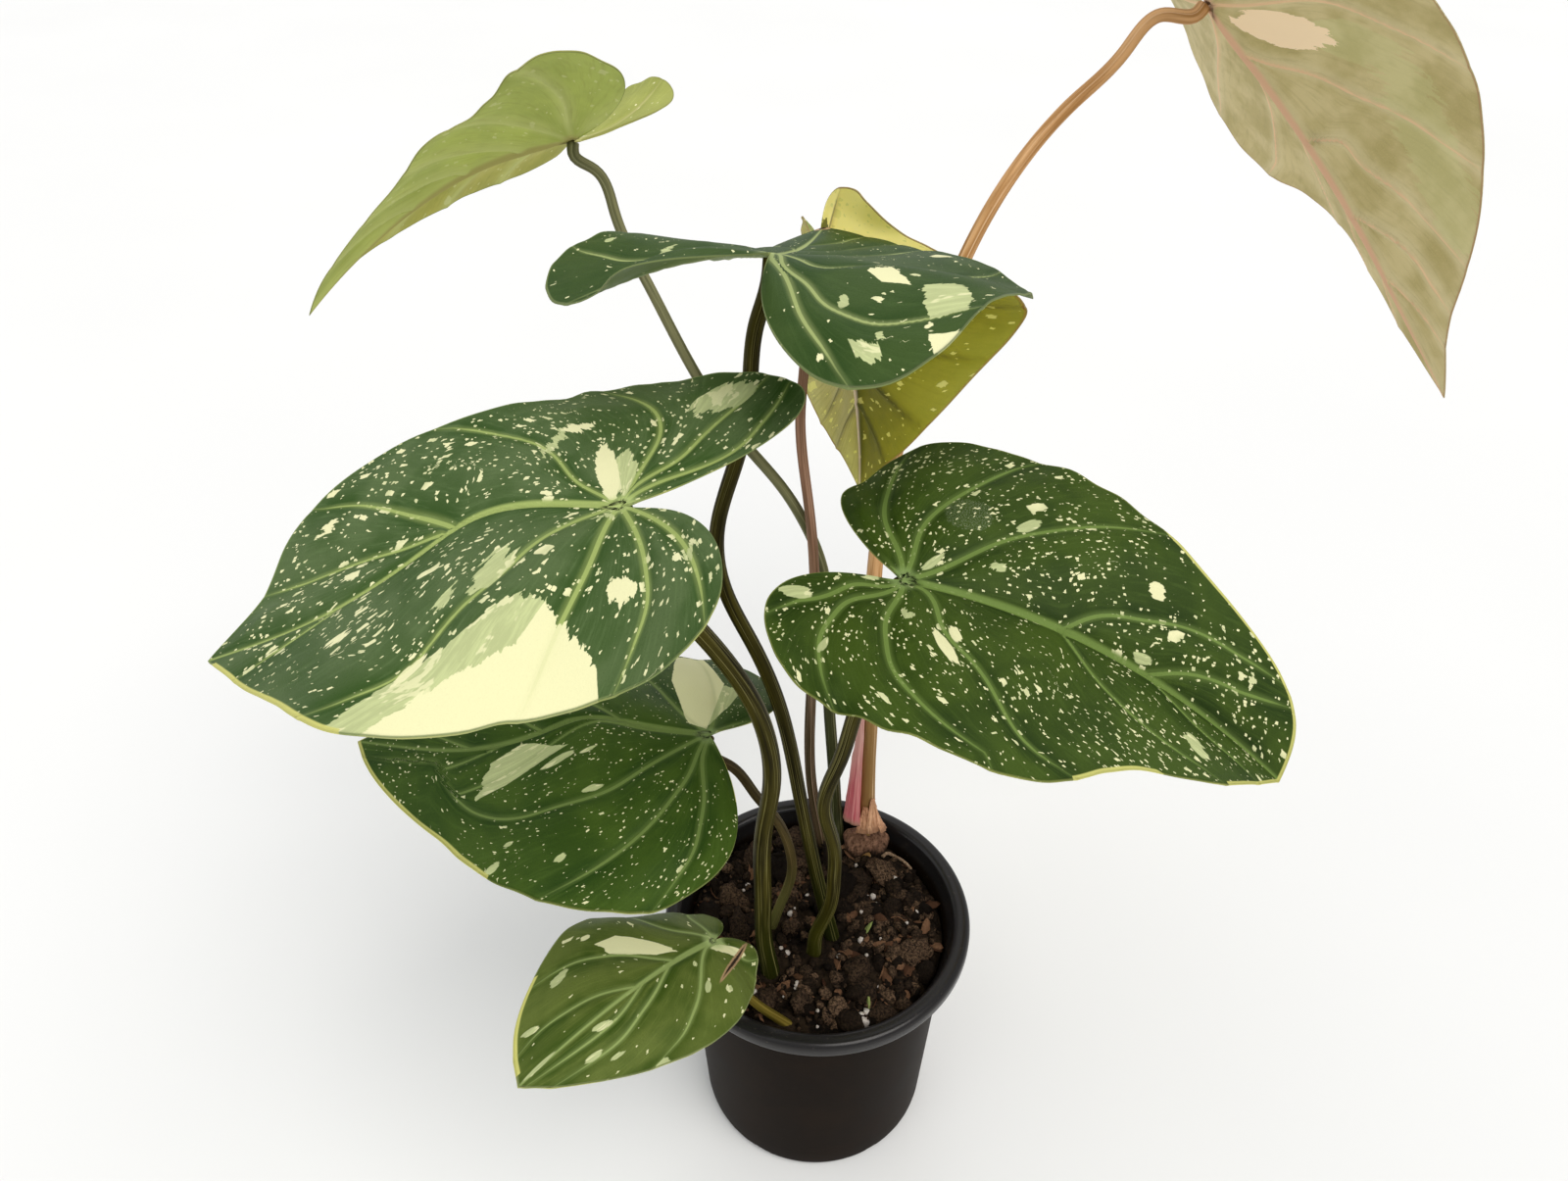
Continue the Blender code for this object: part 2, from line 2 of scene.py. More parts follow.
# This is a lesson on dressing a potted plant: a variegated gloriosum with eight heart-shaped leaves in a
# black nursery pot. The solids come first from the imported model, in metres, with the centre of the pot's
# underside at the origin. Every piece below is then a function on a grid, worked out as whole arrays, and
# its finish is made of nodes only. We start by loading the frame.

# %% Load the frame
import math
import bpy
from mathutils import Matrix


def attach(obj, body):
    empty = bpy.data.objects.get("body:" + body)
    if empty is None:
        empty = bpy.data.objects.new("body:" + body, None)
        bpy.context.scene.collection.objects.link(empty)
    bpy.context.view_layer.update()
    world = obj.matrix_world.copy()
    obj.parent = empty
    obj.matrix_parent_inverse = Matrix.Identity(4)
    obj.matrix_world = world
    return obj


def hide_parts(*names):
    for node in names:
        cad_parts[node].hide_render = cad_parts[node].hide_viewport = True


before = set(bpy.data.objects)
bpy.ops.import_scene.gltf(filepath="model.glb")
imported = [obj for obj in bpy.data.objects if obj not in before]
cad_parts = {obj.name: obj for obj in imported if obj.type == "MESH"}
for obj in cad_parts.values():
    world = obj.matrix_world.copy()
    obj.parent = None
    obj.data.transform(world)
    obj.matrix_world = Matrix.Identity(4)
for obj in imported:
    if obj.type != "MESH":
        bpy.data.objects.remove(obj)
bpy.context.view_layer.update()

from types import SimpleNamespace

import bpy
import numpy as np

MM = 0.001
GAP = 0.0003

# %% [markdown]
# The camera stands where the photographer stood: a little left of the plant's middle, about a quarter of a
# metre in front of it, looking down. Its place was worked out from the ellipses of the pot's lip and foot.
# It comes first, because each leaf is later judged through it.

# %% The camera
CAMERA_PLACE, CAMERA_TILT = (-0.0115, -0.257, 0.430), 37.3

camera_data = bpy.data.cameras.new("camera")
camera_data.sensor_width = 36
camera_data.lens = 27.05
camera_data.clip_start = 0.01
camera = bpy.data.objects.new("camera", camera_data)
camera.location = CAMERA_PLACE
camera.rotation_euler = (math.radians(90 - CAMERA_TILT), 0, 0)
bpy.context.scene.collection.objects.link(camera)
bpy.context.scene.camera = camera
print("camera at", tuple(round(x, 3) for x in camera.location))

# %% [markdown]
# Shader maths reads best as plain arithmetic. A small class wraps a socket, and each operator adds one Math
# node, so that a line such as `1 - mask * 0.5` means what it says. Colours and directions don't go through
# Math nodes, which would turn them grey: they have Mix and Vector Math nodes of their own.

# %% Arithmetic on sockets
class Value:
    """A number that varies over a surface, as the output socket of a node."""

    def __init__(self, finish, socket):
        self.finish = finish
        self.socket = socket

    def maths(self, operation, *others):
        places = dict(enumerate((self, *others)))
        return self.finish.node("ShaderNodeMath", {"operation": operation}, places)

    def __add__(self, other):
        return self.maths("ADD", other)

    def __sub__(self, other):
        return self.maths("SUBTRACT", other)

    def __rsub__(self, other):
        return self.finish.node("ShaderNodeMath", {"operation": "SUBTRACT"}, {0: other, 1: self})

    def __mul__(self, other):
        return self.maths("MULTIPLY", other)

    def __truediv__(self, other):
        return self.maths("DIVIDE", other)

    def __pow__(self, other):
        return self.maths("POWER", other)

    def __abs__(self):
        return self.maths("ABSOLUTE")

    def floor(self):
        return self.maths("FLOOR")

    def larger(self, other):
        return self.maths("MAXIMUM", other)

    def smaller(self, other):
        return self.maths("MINIMUM", other)

    def step(self, low, high):
        """0 below low, 1 above high and an even curve between. Where low is above high, it falls instead."""
        places = {"Value": self, "From Min": low, "From Max": high}
        return self.finish.node("ShaderNodeMapRange", {"interpolation_type": "SMOOTHSTEP"}, places)


# %% A finish made of nodes
class Finish:
    """A material. A node is made from its type, its settings and the values or links of its sockets."""

    def __init__(self, name, **constants):
        self.material = bpy.data.materials.new(name)
        self.material.use_nodes = True
        self.nodes = self.material.node_tree.nodes
        self.links = self.material.node_tree.links
        self.shader = self.nodes["Principled BSDF"]
        for socket, value in constants.items():
            self.shader.inputs[socket.replace("_", " ")].default_value = value

    def node(self, kind, settings=None, places=None, output=0):
        made = self.nodes.new(kind)
        for setting, value in (settings or {}).items():
            setattr(made, setting, value)
        for socket, value in (places or {}).items():
            self.set(made.inputs[socket], value)
        return Value(self, made.outputs[output])

    def set(self, socket, value):
        """Links a value to a socket, or sets the socket to a number, a colour or a direction."""
        if isinstance(value, Value):
            self.links.new(value.socket, socket)
        elif socket.type == "RGBA":
            socket.default_value = (*value, 1)
        else:
            socket.default_value = value

    def feed(self, **values):
        """Links values to the shader's own sockets, which are named with _ for a space."""
        for socket, value in values.items():
            self.set(self.shader.inputs[socket.replace("_", " ")], value)
        return self.material

    def spot(self):
        """The point of the surface, in metres of the object's own space."""
        return self.node("ShaderNodeTexCoord", output="Object")

    def parts(self, vector):
        """The three coordinates of a vector."""
        split = self.node("ShaderNodeSeparateXYZ", places={0: vector}).socket.node
        return [Value(self, socket) for socket in split.outputs]

    def point(self, x, y, z=0.0):
        return self.node("ShaderNodeCombineXYZ", places={0: x, 1: y, 2: z})

    def attribute(self, name):
        """The three numbers that the mesh keeps at each point under that name."""
        return self.parts(self.node("ShaderNodeAttribute", {"attribute_name": name}, output="Vector"))

    def noise(self, vector, scale, detail=2.0, roughness=0.5, flat=False):
        """Even noise from 0 to 1, in space, or on the first two coordinates alone."""
        places = {"Vector": vector, "Scale": scale, "Detail": detail, "Roughness": roughness}
        return self.node("ShaderNodeTexNoise", {"noise_dimensions": "2D" if flat else "3D"}, places)

    def cloud(self, across, along, detail=2.0, roughness=0.5):
        """Flat noise over two coordinates."""
        return self.noise(self.point(across, along), 1.0, detail, roughness, flat=True)

    def cells(self, across, along):
        """The square distance to the nearest seed of a flat cell pattern, and a number of that cell's own."""
        settings = {"voronoi_dimensions": "2D", "distance": "CHEBYCHEV"}
        near = self.node("ShaderNodeTexVoronoi", settings,
                         {"Vector": self.point(across, along), "Scale": 1.0})
        own = self.parts(Value(self, near.socket.node.outputs["Color"]))[0]
        return near, own

    def mix(self, share, first, second):
        places = {0: share, 6: first, 7: second}
        return self.node("ShaderNodeMix", {"data_type": "RGBA"}, places, output=2)

    def bump(self, height, distance, strength):
        places = {"Height": height, "Distance": distance, "Strength": strength}
        return self.node("ShaderNodeBump", places=places)


print("node helpers ready")

# %% [markdown]
# Every shape below is a grid of points. These helpers turn whole arrays into a mesh, read a smooth curve
# through a few values at many places at once, and give an even, seeded noise for lumps and wrinkles.

# %% Arrays into meshes
def grid_quads(rows, columns, first=0, wrap=False):
    """The corners of the faces between points in rows and columns, counted row by row from first."""
    row, column = np.meshgrid(np.arange(rows - 1), np.arange(columns if wrap else columns - 1), indexing="ij")
    after = (column + 1) % columns
    a = first + row * columns + column
    b = first + row * columns + after
    return np.stack([a, b, b + columns, a + columns], axis=-1).reshape(-1, 4)


def circle(sides):
    """The cosines and the sines of even turns round a circle."""
    turns = np.linspace(0, 2 * np.pi, sides, endpoint=False)
    return np.cos(turns), np.sin(turns)


def closed_tube(rows, sides, flipped=False):
    """The faces of rows of points that go round a tube, with a fan to one more point at each end.

    The two end points follow the rows. Where the rows run the other way along the tube, it is flipped.
    """
    ring = np.arange(sides)
    after = (ring + 1) % sides
    count, last = rows * sides, (rows - 1) * sides
    quads = grid_quads(rows, sides, wrap=True)
    fans = np.concatenate([np.stack([np.full(sides, count), after, ring], axis=-1),
                           np.stack([np.full(sides, count + 1), last + ring, last + after], axis=-1)])
    if flipped:
        quads, fans = quads[:, ::-1], fans[:, [0, 2, 1]]
    return quads, fans


def make_mesh(name, points, quads, triangles=np.zeros((0, 3), int)):
    """A smooth mesh from an array of points in metres and the corners of its faces."""
    mesh = bpy.data.meshes.new(name)
    sizes = np.repeat([4, 3], [len(quads), len(triangles)])
    corners = np.concatenate([np.ravel(quads), np.ravel(triangles)]).astype(np.int32)
    mesh.vertices.add(len(points))
    mesh.vertices.foreach_set("co", np.ascontiguousarray(points, np.float32).ravel())
    mesh.loops.add(len(corners))
    mesh.loops.foreach_set("vertex_index", corners)
    mesh.polygons.add(len(sizes))
    mesh.polygons.foreach_set("loop_start", (np.cumsum(sizes) - sizes).astype(np.int32))
    mesh.update(calc_edges=True)
    mesh.shade_smooth()
    return mesh


def store(mesh, name, values):
    """Keeps three numbers at each point, for the finish to read."""
    kept = mesh.attributes.new(name, "FLOAT_VECTOR", "POINT")
    kept.data.foreach_set("vector", np.ascontiguousarray(values, np.float32).ravel())


def place_piece(name, mesh, finishes, nodes):
    """Puts a mesh in the scene, on the one body, in place of its solids."""
    piece = bpy.data.objects.new(name, mesh)
    bpy.context.scene.collection.objects.link(piece)
    for finish in finishes:
        mesh.materials.append(finish)
    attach(piece, "root")
    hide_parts(*nodes)
    print(f"{name}: {len(mesh.vertices)} points, {sum(len(p.vertices) - 2 for p in mesh.polygons)} triangles")


# %% Smooth curves and noise
def smooth_curve(knots, values, at):
    """The natural cubic through values at knots, read at the places in at. Its bends solve a small system."""
    knots = np.asarray(knots, float)
    values = np.asarray(values, float).reshape(len(knots), -1)
    at = np.asarray(at, float)
    steps = np.diff(knots)
    slopes = np.diff(values, axis=0) / steps[:, None]
    inner = np.arange(1, len(knots) - 1)
    system = np.eye(len(knots))
    system[inner, inner - 1] = steps[:-1]
    system[inner, inner] = 2 * (steps[:-1] + steps[1:])
    system[inner, inner + 1] = steps[1:]
    right = np.zeros_like(values)
    right[inner] = 6 * np.diff(slopes, axis=0)
    bends = np.linalg.solve(system, right)
    i = np.clip(np.searchsorted(knots, at, side="right") - 1, 0, len(knots) - 2)
    step = steps[i][..., None]
    before = (knots[i + 1] - at)[..., None]
    after = (at - knots[i])[..., None]
    ends = (values[i] * before + values[i + 1] * after) / step
    curve = bends[i] * (before**3 / step - step * before) + bends[i + 1] * (after**3 / step - step * after)
    return ends + curve / 6


def lattice_noise(x, y, seed):
    """Even noise from -1 to 1: random numbers on a square lattice, eased from one to the next."""
    size = 64
    table = np.random.default_rng(seed).uniform(-1, 1, (size, size))
    column, row = np.floor(x).astype(int), np.floor(y).astype(int)
    fx, fy = x - column, y - row
    fx, fy = fx * fx * (3 - 2 * fx), fy * fy * (3 - 2 * fy)
    column, row, next_column, next_row = column % size, row % size, (column + 1) % size, (row + 1) % size
    low = table[row, column] * (1 - fx) + table[row, next_column] * fx
    high = table[next_row, column] * (1 - fx) + table[next_row, next_column] * fx
    return low * (1 - fy) + high * fy


def turn_about(axis, degrees):
    """The matrix that turns a column of coordinates about one axis of the frame."""
    c, s = math.cos(math.radians(degrees)), math.sin(math.radians(degrees))
    return np.array({
        "X": ((1, 0, 0), (0, c, -s), (0, s, c)),
        "Y": ((c, 0, s), (0, 1, 0), (-s, 0, c)),
        "Z": ((c, -s, 0), (s, c, 0), (0, 0, 1)),
    }[axis])


print("mesh helpers ready")

# %% [markdown]
# Each leaf is given by a few numbers in millimetres and degrees, the same as in the solid model: where the
# stalk meets the blade, which way the tip points, how far the blade is folded along its midrib, how wide
# the notch is, and for each side how far the ribs reach and how high their ends rise. The stalk's own
# points follow. A vein is a line of places on the flat blade, in millimetres forward of the junction and
# out to that side. They are listed from the notch round to the tip on each side. A midrib that wanders from
# the fold has a line of its own.

# %% The eight leaves
# The turns from the tip at which a side's reaches and rises are given, where 180 is the edge of the notch.
REACH_TURNS = (0, 7, 17, 34, 58, 88, 118, 143, 162, 180)
RISE_TURNS = (0, 20, 50, 88, 122, 150, 180)
BLADE_THICKNESS = 0.9
STALK_DEPTH_IN_SOIL = 12
STALK_STRAIGHT = 5
KNEE = 3.5

LEAVES = {
    "front_left": dict(
        junction=(-46, -49, 294), heading=181, pitch=9, roll=1, fold=8, sweep=0.09, notch=(31, 11),
        left_reach=(97, 90, 83, 75, 70, 54, 49, 48, 28, 3), left_rise=(-19, -14, -7, -11, -7, 5, 0),
        right_reach=(97, 88, 86, 76, 58, 52, 49, 52, 43, 3), right_rise=(-19, -6, 4, 2, 5, 5, 0),
        foot=(-16, -21, 90), radii=(2.8, 2.2),
        path=((-18, -23, 111), (-18, -26, 134), (-18, -28, 155), (-17, -30, 173), (-15, -32, 190),
              (-15, -34, 204), (-17, -36, 218), (-21, -39, 233), (-30, -43, 253)),
        midrib=((0, 0), (16, -5), (39, -5), (49, 2), (57, 6), (79, 6), (97, 0)),
        left_veins=(((-3, 3), (-10, 12), (-16, 24), (-19, 35)),
                    ((-2, 5), (-6, 17), (-8, 28), (-8, 35), (-6, 40)), ((1, 4), (4, 19), (7, 28), (12, 41)),
                    ((7, 3), (13, 7), (18, 15), (24, 22), (30, 31), (38, 39), (47, 44)),
                    ((60, 6), (70, 11), (84, 14))),
        right_veins=(((-3, 3), (-11, 7), (-22, 11), (-30, 20)), ((-1, 3), (-11, 12), (-16, 18), (-25, 29)),
                     ((-1, 3), (-4, 12), (-7, 21), (-7, 30), (-4, 38), (2, 46)),
                     ((3, 3), (11, 11), (17, 21), (24, 31), (34, 37), (45, 43)),
                     ((38, 5), (45, 11), (55, 20), (64, 25), (72, 28)), ((40, 5), (55, 6), (64, 7), (73, 8))),
    ),
    "front_right": dict(
        junction=(16, -39, 267), heading=-9, pitch=7, roll=9, fold=12, sweep=-0.07, notch=(41, 11),
        left_reach=(101, 101, 86, 69, 62, 53, 52, 39, 31, 3), left_rise=(-37, -4, 4, 3, -4, -5, 0),
        right_reach=(101, 91, 81, 66, 61, 49, 45, 40, 28, 3), right_rise=(-37, -15, 2, 6, 5, 9, 0),
        foot=(-1.5, -14, 90), radii=(2.3, 2.0),
        path=((-1, -16, 103), (3, -19, 122), (4, -21, 141), (3, -24, 159), (0, -26, 176), (4, -30, 200),
              (7, -32, 218)),
        left_veins=(((-0.5, 3), (-5, 14), (-7, 27), (-5, 43)),
                    ((1, 4), (2, 13), (6, 23), (15, 34), (24, 43)),
                    ((4, 2), (13, 9), (21, 16), (33, 23), (45, 28), (56, 30)),
                    ((38, 0), (45, 5), (56, 9), (67, 12), (82, 13)), ((60, 0), (70, 4), (85, 7))),
        right_veins=(((-1, 2), (-8, 5), (-14, 10), (-22, 18)),
                     ((-1, 3), (-10, 11), (-14, 18), (-16, 26), (-15, 33)),
                     ((0, 4), (-2, 12), (-2, 22), (0, 30), (5, 37)),
                     ((5, 2), (9, 11), (16, 22), (23, 33), (30, 43), (36, 46)),
                     ((38, 0), (45, 10), (53, 17), (64, 21), (73, 21)), ((62, 0), (72, 5), (86, 7))),
    ),
    "top_middle": dict(
        junction=(-14, 2, 329), heading=81, pitch=22, roll=3, fold=1, sweep=0.0, notch=(15, -3),
        left_reach=(91, 90, 78, 67, 55, 53, 48, 41, 37, 3), left_rise=(9, -3, 0, -6, -16, -8, 0),
        right_reach=(91, 89, 79, 67, 61, 59, 57, 59, 42, 3), right_rise=(9, 6, 3, -3, -6, -23, 0),
        foot=(5, -7, 90), radii=(2.3, 1.9),
        path=((1, -6, 111), (-2, -5, 128), (-7, -4, 160), (-12, -3, 190), (-20, -2, 216), (-28, -2, 238),
              (-29, -1, 255), (-24, 0, 274), (-20, 0, 293), (-18, 1, 312)),
        left_veins=(((-4, 5), (-14, 20), (-18, 34)), ((-2, 6), (-6, 25), (-5, 31), (0, 38), (10, 49)),
                    ((4, 5), (11, 15), (19, 23), (28, 36)), ((6, 0), (30, 12), (50, 20), (60, 24)),
                    ((40, 0), (55, 6), (76, 11))),
        right_veins=(((-8, 1), (-13, 3), (-24, 8), (-33, 12), (-41, 18), (-46, 22)),
                     ((-4, 2), (-12, 4), (-23, 11), (-30, 16), (-34, 22), (-36, 28), (-35, 36)),
                     ((-3, 2), (-10, 8), (-15, 14), (-12, 22), (-2, 30), (9, 38), (22, 48)),
                     ((8, 3), (30, 15), (52, 26), (62, 30)), ((24, 0), (40, 8), (58, 14), (69, 20)),
                     ((48, 0), (58, 4), (78, 10))),
    ),
    "young_hanging": dict(
        junction=(1, 109, 287), heading=-13, pitch=64, roll=-32, fold=16, sweep=0.04, notch=(49, 29),
        left_reach=(81, 70, 67, 64, 68, 50, 36, 27, 19, 3), left_rise=(-22, -21, -18, -4, 3, 4, 0),
        right_reach=(81, 75, 70, 61, 56, 54, 43, 39, 27, 3), right_rise=(-22, -4, 36, 28, 12, 8, 0),
        foot=(2.5, 37, 90), radii=(2.0, 1.6),
        path=((-1, 44, 108), (-2, 55, 136), (-1, 64, 163), (-1, 74, 187), (-3, 83, 208), (-6, 93, 237),
              (-5, 102, 265)),
        left_veins=(((-4, 6), (-12, 17), (-14, 22)), ((0, 6), (2, 18), (6, 32)),
                    ((5, 4), (16, 18), (28, 38)), ((16, 0), (28, 10), (44, 30)),
                    ((34, 0), (44, 9), (58, 21)), ((50, 0), (58, 6), (70, 12))),
        right_veins=(((-4, 6), (-14, 18), (-22, 28)), ((0, 6), (0, 22), (5, 38)),
                     ((5, 4), (16, 18), (30, 40)), ((16, 0), (28, 10), (46, 32)),
                     ((34, 0), (44, 9), (60, 22)), ((50, 0), (58, 6), (72, 13))),
    ),
    "back_left": dict(
        junction=(-77, 118, 320), heading=184, pitch=2, roll=29, fold=18, sweep=-0.08, notch=(47, 11),
        left_reach=(89, 82, 71, 57, 50, 44, 52, 50, 40, 3), left_rise=(-47, -27, -9, 1, 10, 8, 0),
        right_reach=(89, 86, 76, 59, 53, 50, 49, 43, 32, 3), right_rise=(-47, -23, -5, 10, 28, 19, 0),
        foot=(8.5, 37, 90), radii=(2.2, 1.6),
        path=((7, 47, 112), (5, 56, 136), (4, 67, 161), (3, 78, 180), (-4, 84, 199), (-12, 89, 211),
              (-25, 92, 227), (-41, 97, 251), (-56, 105, 280), (-65, 111, 300), (-71, 115, 312)),
        left_veins=(((-4, 5), (-14, 18), (-20, 28)), ((0, 6), (-1, 20), (2, 36)),
                    ((4, 4), (14, 17), (28, 34)), ((14, 0), (26, 9), (44, 26)), ((32, 0), (43, 8), (60, 18)),
                    ((50, 0), (60, 6), (74, 11))),
        right_veins=(((-4, 5), (-15, 18), (-24, 30)), ((0, 6), (-2, 22), (2, 42)),
                     ((4, 4), (14, 18), (28, 38)), ((14, 0), (26, 9), (46, 29)),
                     ((32, 0), (43, 8), (62, 20)), ((50, 0), (60, 6), (76, 12))),
    ),
    "back_right": dict(
        junction=(127, 167, 349), heading=-18, pitch=40, roll=-33, fold=15, sweep=-0.09, notch=(46, 41),
        left_reach=(152, 131, 111, 97, 93, 83, 78, 72, 58, 3), left_rise=(-32, -6, 3, 14, 27, 21, 0),
        right_reach=(152, 134, 120, 104, 91, 85, 79, 73, 58, 3), right_rise=(-32, -10, 7, 7, 6, 9, 0),
        foot=(18.6, 35, 98), radii=(3.0, 2.1),
        path=((19, 46, 121), (20, 59, 144), (20, 72, 168), (22, 86, 195), (28, 100, 222), (38, 115, 250),
              (51, 130, 280), (67, 143, 304), (85, 153, 322), (101, 160, 336), (113, 165, 346)),
        left_veins=(((-8, 8), (-24, 24), (-36, 42)), ((-2, 10), (-8, 34), (-6, 64)),
                    ((6, 6), (20, 30), (40, 66)), ((22, 0), (40, 14), (66, 48)),
                    ((48, 0), (66, 12), (96, 36)), ((76, 0), (92, 9), (116, 25)),
                    ((102, 0), (114, 6), (132, 14))),
        right_veins=(((-8, 8), (-24, 26), (-38, 42)), ((-2, 10), (-8, 36), (-4, 66)),
                     ((5, 8), (13, 26), (21, 42), (32, 52), (43, 60)),
                     ((20, 0), (35, 14), (50, 26), (62, 36), (77, 44)),
                     ((56, 0), (59, 8), (68, 14), (81, 20), (94, 25), (108, 29)),
                     ((85, 0), (94, 9), (103, 15), (114, 17)), ((108, 0), (118, 6), (134, 11))),
    ),
    "low_left": dict(
        junction=(-32, -25, 204), heading=171, pitch=-7, roll=5, fold=-7, sweep=0.01, notch=(51, 47),
        left_reach=(101, 95, 85, 72, 64, 56, 51, 43, 31, 3), left_rise=(-28, -30, -26, -21, -16, -9, 0),
        right_reach=(101, 90, 80, 68, 59, 54, 52, 45, 31, 3), right_rise=(-28, -19, -15, -14, -15, -12, 0),
        foot=(-16, -3, 90), radii=(1.7, 1.4),
        path=((-12, -6, 109), (-9, -10, 128), (-10, -13, 144), (-14, -16, 160), (-20, -19, 174),
              (-27, -22, 189)),
        midrib=((0, 0), (20, 0), (35, -1), (43, 3), (50, 6), (64, 8), (80, 6), (101, 0)),
        left_veins=(((0, 8), (-3, 19), (-4, 27), (-4, 35), (-2, 41)),
                    ((1, 4), (2, 13), (4, 20), (8, 29), (14, 37), (22, 43)),
                    ((4, 4), (8, 8), (15, 15), (20, 20), (29, 24), (40, 28), (55, 28)),
                    ((30, 0), (45, 11), (62, 19), (80, 20)), ((55, 7), (68, 12), (86, 11))),
        right_veins=(((-3, 4), (-12, 17), (-16, 30)), ((0, 5), (2, 20), (8, 40)),
                     ((5, 4), (18, 20), (34, 36)), ((24, 0), (38, 10), (58, 26)),
                     ((45, -4), (58, 4), (78, 10)), ((64, -8), (74, -4), (88, 2))),
    ),
    "small_low": dict(
        junction=(-33, -34, 125), heading=225, pitch=-25, roll=-7, fold=-6, sweep=-0.03, notch=(3, 17),
        left_reach=(60, 55, 48, 40, 31, 21, 18, 17, 15, 3), left_rise=(-35, -23, -9, -5, -9, -5, 0),
        right_reach=(60, 58, 55, 49, 42, 33, 29, 25, 19, 3), right_rise=(-35, -31, -18, -19, -17, -11, 0),
        foot=(-12.5, -39, 90), radii=(1.5, 1.2),
        path=((-17, -39, 95), (-24, -38, 104), (-30, -36, 114)),
        left_veins=(((-2, 2), (-8, 8), (-12, 9)), ((4, 1), (10, 6), (16, 13), (20, 16), (25, 19), (29, 20)),
                    ((17, 0), (24, 4), (31, 7), (37, 9), (43, 9), (49, 8)),
                    ((26, 0), (33, 3), (44, 4), (51, 3))),
        right_veins=(((-1, 3), (-2, 7), (-4, 13), (-9, 18)), ((1, 2), (7, 9), (10, 16), (9, 27)),
                     ((15, 0), (22, 9), (28, 16), (33, 20), (38, 22), (43, 23)),
                     ((28, 0), (35, 5), (43, 8), (49, 9), (55, 8))),
    ),
}
print("leaves:", ", ".join(LEAVES))

# %% [markdown]
# A blade of this plant is a thin heart-shaped sheet that hangs from its junction. One way would be to model
# it by hand from a plane. Here it is a formula instead: ribs leave the junction at every turn from one
# side of the notch round the tip to the other, and each has a reach and a rise. The same formula gives a
# second number at every point, which counts the veins across the blade. The finish then draws any number
# of crisp veins from it, and the shape sinks at each vein and swells between.

# %% Where a point lies between the veins
# Two angles in radians, the steepest slant that counts, and three lengths in mm.
LEAST_ANGLE, PAST_NOTCH = 1e-4, 0.02
STEEPEST_SLANT = 1.5
LONGEST_RUN_ON, NEAR_MIDRIB, LEAST_RING_STEP = 15, 0.6, 0.5


def midrib_at(leaf, forward):
    """How far left of the fold the midrib runs, in mm."""
    x, y = np.array(leaf.get("midrib", ((0, 0), (100, 0))), float).T
    return smooth_curve(x, y, np.clip(forward, x[0], x[-1]))[..., 0]


def vein_angles(leaf, side, radius):
    """The angle of every vein at that radius, from the edge of the notch round to the midrib.

    Each vein is its angle as a curve of the radius, which runs on straight past its last point. One that
    leaves the midrib farther out lies on it up to there. No vein crosses the one before it.
    """
    name = "left" if side > 0 else "right"
    notch = math.radians(180 - leaf["notch"][0 if side > 0 else 1]) + PAST_NOTCH
    angles = [np.full_like(radius, notch)]
    for vein in leaf[name + "_veins"]:
        x, y = np.array(vein, float).T
        y = np.maximum(y - side * midrib_at(leaf, x), 0.01)
        places = np.hypot(x, y)
        inside = np.clip(radius, places[0], places[-1])
        turned = np.arctan2(y, x)
        bent = smooth_curve(places, turned, inside)[..., 0]
        run_on = np.clip(radius - inside, 0, LONGEST_RUN_ON)
        bent += run_on * (turned[-1] - turned[-2]) / (places[-1] - places[-2])
        on_midrib = np.clip((places[0] - radius) * 1e3, 0, 1) if y[0] < NEAR_MIDRIB else 0
        angles.append(np.minimum(angles[-1] - LEAST_ANGLE, np.maximum(bent * (1 - on_midrib), LEAST_ANGLE)))
    angles.append(np.zeros_like(radius))
    return np.stack(angles)


def vein_place(leaf, side, angle, radius):
    """How many veins have been passed from the notch, and how wide the strip between two veins is in mm.

    The count rises by one from a vein to the next, in proportion to the angle. The width is the angle
    between them times the radius, less what the slant of the nearest vein takes.
    """
    angles = vein_angles(leaf, side, radius)
    strips = np.maximum(angles[:-1] - angles[1:], LEAST_ANGLE)
    count = np.clip((angles[:-1] - angle) / strips, 0, 1).sum(axis=0)
    here = np.clip(np.floor(count), 0, len(strips) - 1).astype(int)[None]
    width = np.take_along_axis(strips, here, 0)[0] * radius
    ahead = np.roll(angles, -1, axis=-1) - np.roll(angles, 1, axis=-1)
    apart = np.roll(radius, -1, axis=-1) - np.roll(radius, 1, axis=-1)
    wide = np.abs(apart) > LEAST_RING_STEP
    slant = np.where(wide, ahead / np.where(wide, apart, 1), 0) * radius
    near = np.clip(np.round(count), 0, len(angles) - 1).astype(int)[None]
    lean = np.take_along_axis(np.abs(slant), near, 0)[0]
    return count, width / np.sqrt(1 + np.minimum(lean, STEEPEST_SLANT) ** 2)


# %% The blade as a grid
HALF_COLUMNS, RINGS = 160, 58
VEIN_REACH = 9
# How far the faces stand off the smooth blade, and how thick it is, in mm.
SWELL, VALLEY, MIDRIB_VALLEY, RIPPLE = 0.85, 0.38, 0.35, 0.7
RIDGE, MIDRIB_RIDGE = 0.42, 0.85
THIN, THICKER_INSIDE, THICKER_AT_STALK = 0.34, 0.24, 0.52
LOWER_CENTRE = 1.1
REACH_WAVE = 0.006
# What the finish reads at the centre point of a blade, which is far from the margin and has no veins.
AT_CENTRE = {"leaf": (0, 0, 40), "vein": (0, 0, 0), "line": (0, 0, 0)}


def bell(distance, width):
    """A rounded ridge: 1 in its middle, falling off evenly on both sides."""
    return np.exp(-((distance / width) ** 2))


def both_sides(leaf, measure, knots, turn, left):
    """A measure of the blade at every turn, from the curve of its left side or of its right side."""
    curves = [smooth_curve(knots, leaf[side + measure], turn)[..., 0] for side in ("left", "right")]
    return np.where(left, *curves)


